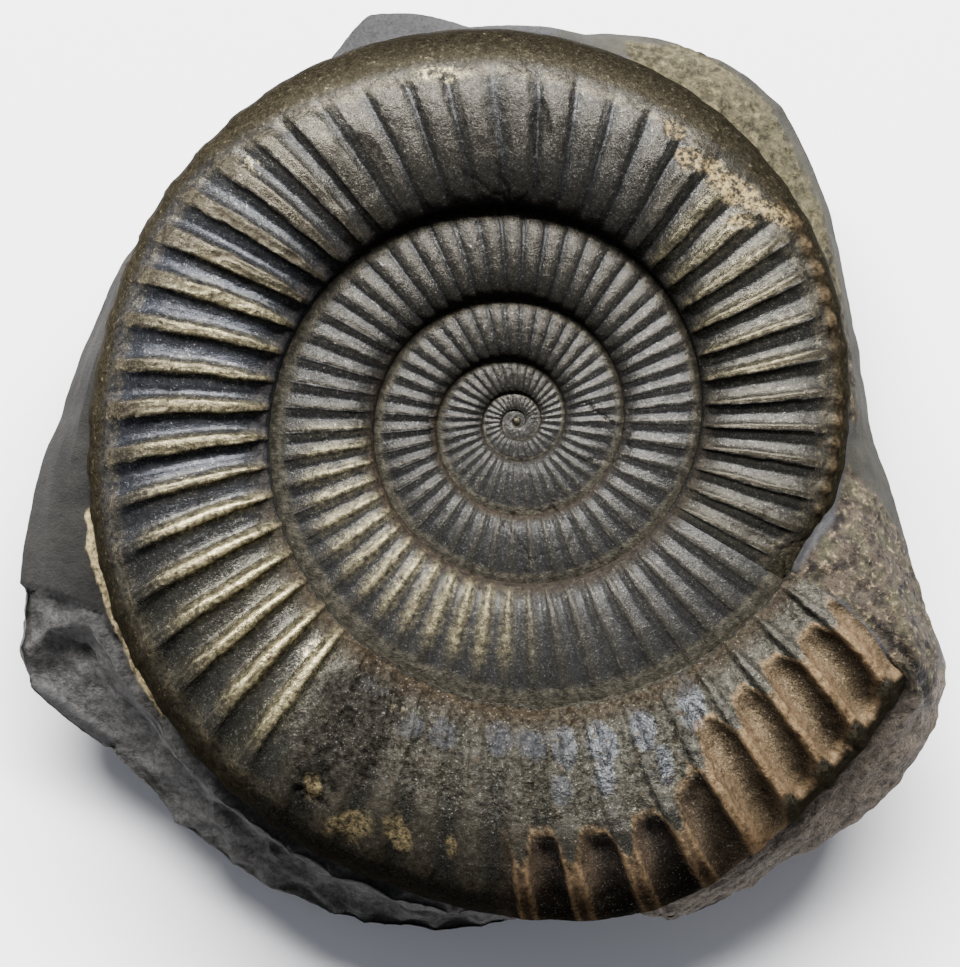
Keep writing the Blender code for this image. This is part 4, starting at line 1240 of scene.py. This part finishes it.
# Outlines on the plan of the stone's surfaces
STONE_ZONES = {
    "slab": (
        (
            (-20, 592), (22, 592), (60, 601), (95, 615), (108, 642), (130, 640), (140, 400), (140, 200),
            (40, 200), (-20, 400),
        ),
    ),
    "facet": (
        (
            (-20, 592), (22, 592), (60, 601), (95, 615), (108, 642), (130, 630), (190, 725), (300, 840),
            (220, 800), (160, 770), (90, 728), (40, 690), (-20, 660),
        ),
        (
            (120, 735), (190, 760), (300, 846), (420, 896), (520, 925), (700, 925), (640, 960), (400, 965),
            (200, 880), (100, 760),
        ),
    ),
    "rough": (
        (
            (795, 575), (838, 520), (850, 470), (880, 500), (905, 545), (925, 600), (940, 650), (935, 700),
            (905, 690), (885, 640), (845, 600),
        ),
        (
            (630, 40), (705, 46), (770, 102), (812, 180), (836, 258), (850, 340), (858, 420), (800, 380),
            (760, 200), (640, 90),
        ),
    ),
    "rind": (
        (
            (560, 0), (700, 0), (900, 200), (960, 480), (960, 600), (925, 600), (905, 545), (880, 500),
            (850, 470), (856, 420), (846, 340), (826, 262), (800, 190), (760, 118), (700, 62), (640, 45),
            (560, 60),
        ),
    ),
    "chunk": (
        (
            (905, 690), (935, 700), (960, 640), (980, 720), (860, 860), (720, 960), (640, 940), (640, 860),
            (760, 840), (850, 770),
        ),
    ),
}
# On the plan: the crust between the stone and the shell on the left, and the dark glossy crack on the right
SHELL_CRUST = (
    ((90, 516), (92, 530), (90, 548), (99, 570), (105, 590)),
    ((107, 598), (114, 620), (121, 640)),
    ((124, 648), (134, 672), (148, 696), (160, 712)),
    ((100, 436), (97, 445)),
)
GLOSSY_CRACK = (((903, 650), (918, 672), (927, 690), (932, 712)),)


def stone_tree(material):
    bench = ShapeBench("stone", STONE_SIZES, (*STONE_ZONES, "shell_crust", "crack"))
    step, noise, cells, higher = bench.step, bench.noise, bench.cells, bench.higher
    named, distance = bench.named, bench.distance
    level = bench.attribute("level")
    spot = bench.position()
    along, up, _ = bench.parts(spot)
    plan = bench.place(along, up)
    free = step(8.95, 8.3, level)
    bench.rough = noise(plan, 0.4, 3.0, 0.6, shift=2.0)
    side = step(5.0, 5.6, level)
    ragged = bench.rough * 0.25 + noise(spot, 0.28, 4.0, 0.65, shift=5.0) * side * 1.8
    zones = {}
    for name in STONE_ZONES:
        zones[name] = step(0.45, 0.0, distance(name, plan, "FACES") + ragged)
    lumps = noise(spot, 0.12, 3.0, 0.55) * named("Lump height")
    smooth_stone = higher(zones["slab"], zones["rind"]) * (1.0 - side)
    grain = noise(spot, 1.1, 5.0, 0.68, shift=4.0) * named("Grain") * (1.0 - smooth_stone * 0.7)
    broken = higher(higher(zones["facet"], zones["chunk"] * 0.5), side * 0.7)
    bowls = cells(spot, 0.17, shift=21.0) ** 2.0 * 1.1 + cells(spot, 0.36, shift=7.0) ** 2.0 * 1.0
    bowls = bowls + cells(spot, 0.8, shift=13.0) ** 2.0 * 0.3 - 0.7
    facets = bowls * named("Facet depth") * broken
    crags = noise(spot, 0.6, 5.0, 0.75, shift=6.0) * 0.34 + cells(spot, 0.9) * 0.40 - 0.2
    lift = lumps + grain + facets + crags * higher(zones["rough"], zones["chunk"] * 0.6)
    lift -= zones["facet"] * (1.0 - side) * named("Step")
    crust_line = distance("shell_crust", plan) + bench.rough * 0.16
    crust_line += noise(plan, 0.9, 4.0, 0.65, shift=3.0) * 0.34
    crust = step(0.68, 0.30, crust_line) * step(3.6, 3.2, level)
    lift += crust * (named("Crust height") + noise(spot, 1.3, 3.0, 0.7, shift=8.0) * 0.18)
    crack = step(0.55, 0.0, distance("crack", plan) + bench.rough * 0.1) * (1.0 - side)
    lift -= crack * 0.5
    for name, mask in zones.items():
        bench.keep(name, mask)
    bench.keep("crust", crust)
    bench.keep("pit", crack)
    bench.lift(lift * free)
    bench.finish(material)
    return bench


def make_stone(material):
    guides = {name: guide(name, loops, True) for name, loops in STONE_ZONES.items()}
    guides["shell_crust"] = guide("shell_crust", SHELL_CRUST, False)
    guides["crack"] = guide("crack", GLOSSY_CRACK, False)
    stone = made_piece("stone", stone_sheet(), stone_tree(material), STONE_SIZES, guides)
    clear_guides(guides)
    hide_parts("matrix_stone")
    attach(stone, "root")


VIEW_CENTRE = (-0.00313, -0.00529)  # where the camera's axis meets the table, from the coil's axis
VIEW_HEIGHT = 0.0819  # of the table's strip in view, along the longer side
LENS = 300.0
SENSOR = 36.0
SHELL_HEIGHT = 0.020  # above the table, where the strip in view is measured
TABLE_REACH = 1.5


def make_camera():
    lens = bpy.data.cameras.new("camera")
    lens.lens = LENS
    lens.sensor_width = SENSOR
    camera = add_object("camera", lens)
    distance = VIEW_HEIGHT * LENS / SENSOR
    camera.location = (*VIEW_CENTRE, SHELL_HEIGHT + distance)
    lens.clip_start = 0.01
    lens.clip_end = 20.0
    bpy.context.scene.camera = camera


def make_light(name, direction, distance, size, power, colour):
    """A soft panel that faces the middle of the shell."""
    lamp = bpy.data.lights.new(name, "AREA")
    lamp.shape = "RECTANGLE"
    lamp.size, lamp.size_y = size
    lamp.energy = power
    lamp.color = colour
    thing = add_object(name, lamp)
    azimuth, elevation = (math.radians(value) for value in direction)
    level = math.cos(elevation)
    out = (level * math.cos(azimuth), level * math.sin(azimuth), math.sin(elevation))
    thing.location = [c * distance for c in out]
    thing.rotation_euler = (math.pi / 2 - elevation, 0, azimuth + math.pi / 2)


def make_floor():
    mesh = bpy.data.meshes.new("floor")
    corners = [(x * TABLE_REACH, y * TABLE_REACH, 0) for x, y in ((-1, -1), (1, -1), (1, 1), (-1, 1))]
    mesh.from_pydata(corners, [], [(0, 1, 2, 3)])
    floor = add_object("floor", mesh)
    paint = PaintBench("pale_table")
    paint.set("Base Color", (0.86, 0.86, 0.89, 1.0))
    paint.set("Roughness", 0.9)
    mesh.materials.append(paint.material)
    floor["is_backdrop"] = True


def make_surroundings():
    world = bpy.data.worlds.new("studio")
    bpy.context.scene.world = world
    world.use_nodes = True
    world.node_tree.nodes["Background"].inputs["Color"].default_value = (0.80, 0.84, 0.92, 1.0)
    world.node_tree.nodes["Background"].inputs["Strength"].default_value = 0.30


make_coil(pyrite_shell())
make_stone(shale())
make_camera()
make_light("key_panel", (90, 47), 1.2, (1.4, 0.30), 130.0, (1.0, 0.99, 0.975))
make_floor()
make_surroundings()

[[list(corner) for corner in box] for box in (cad_box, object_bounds())]
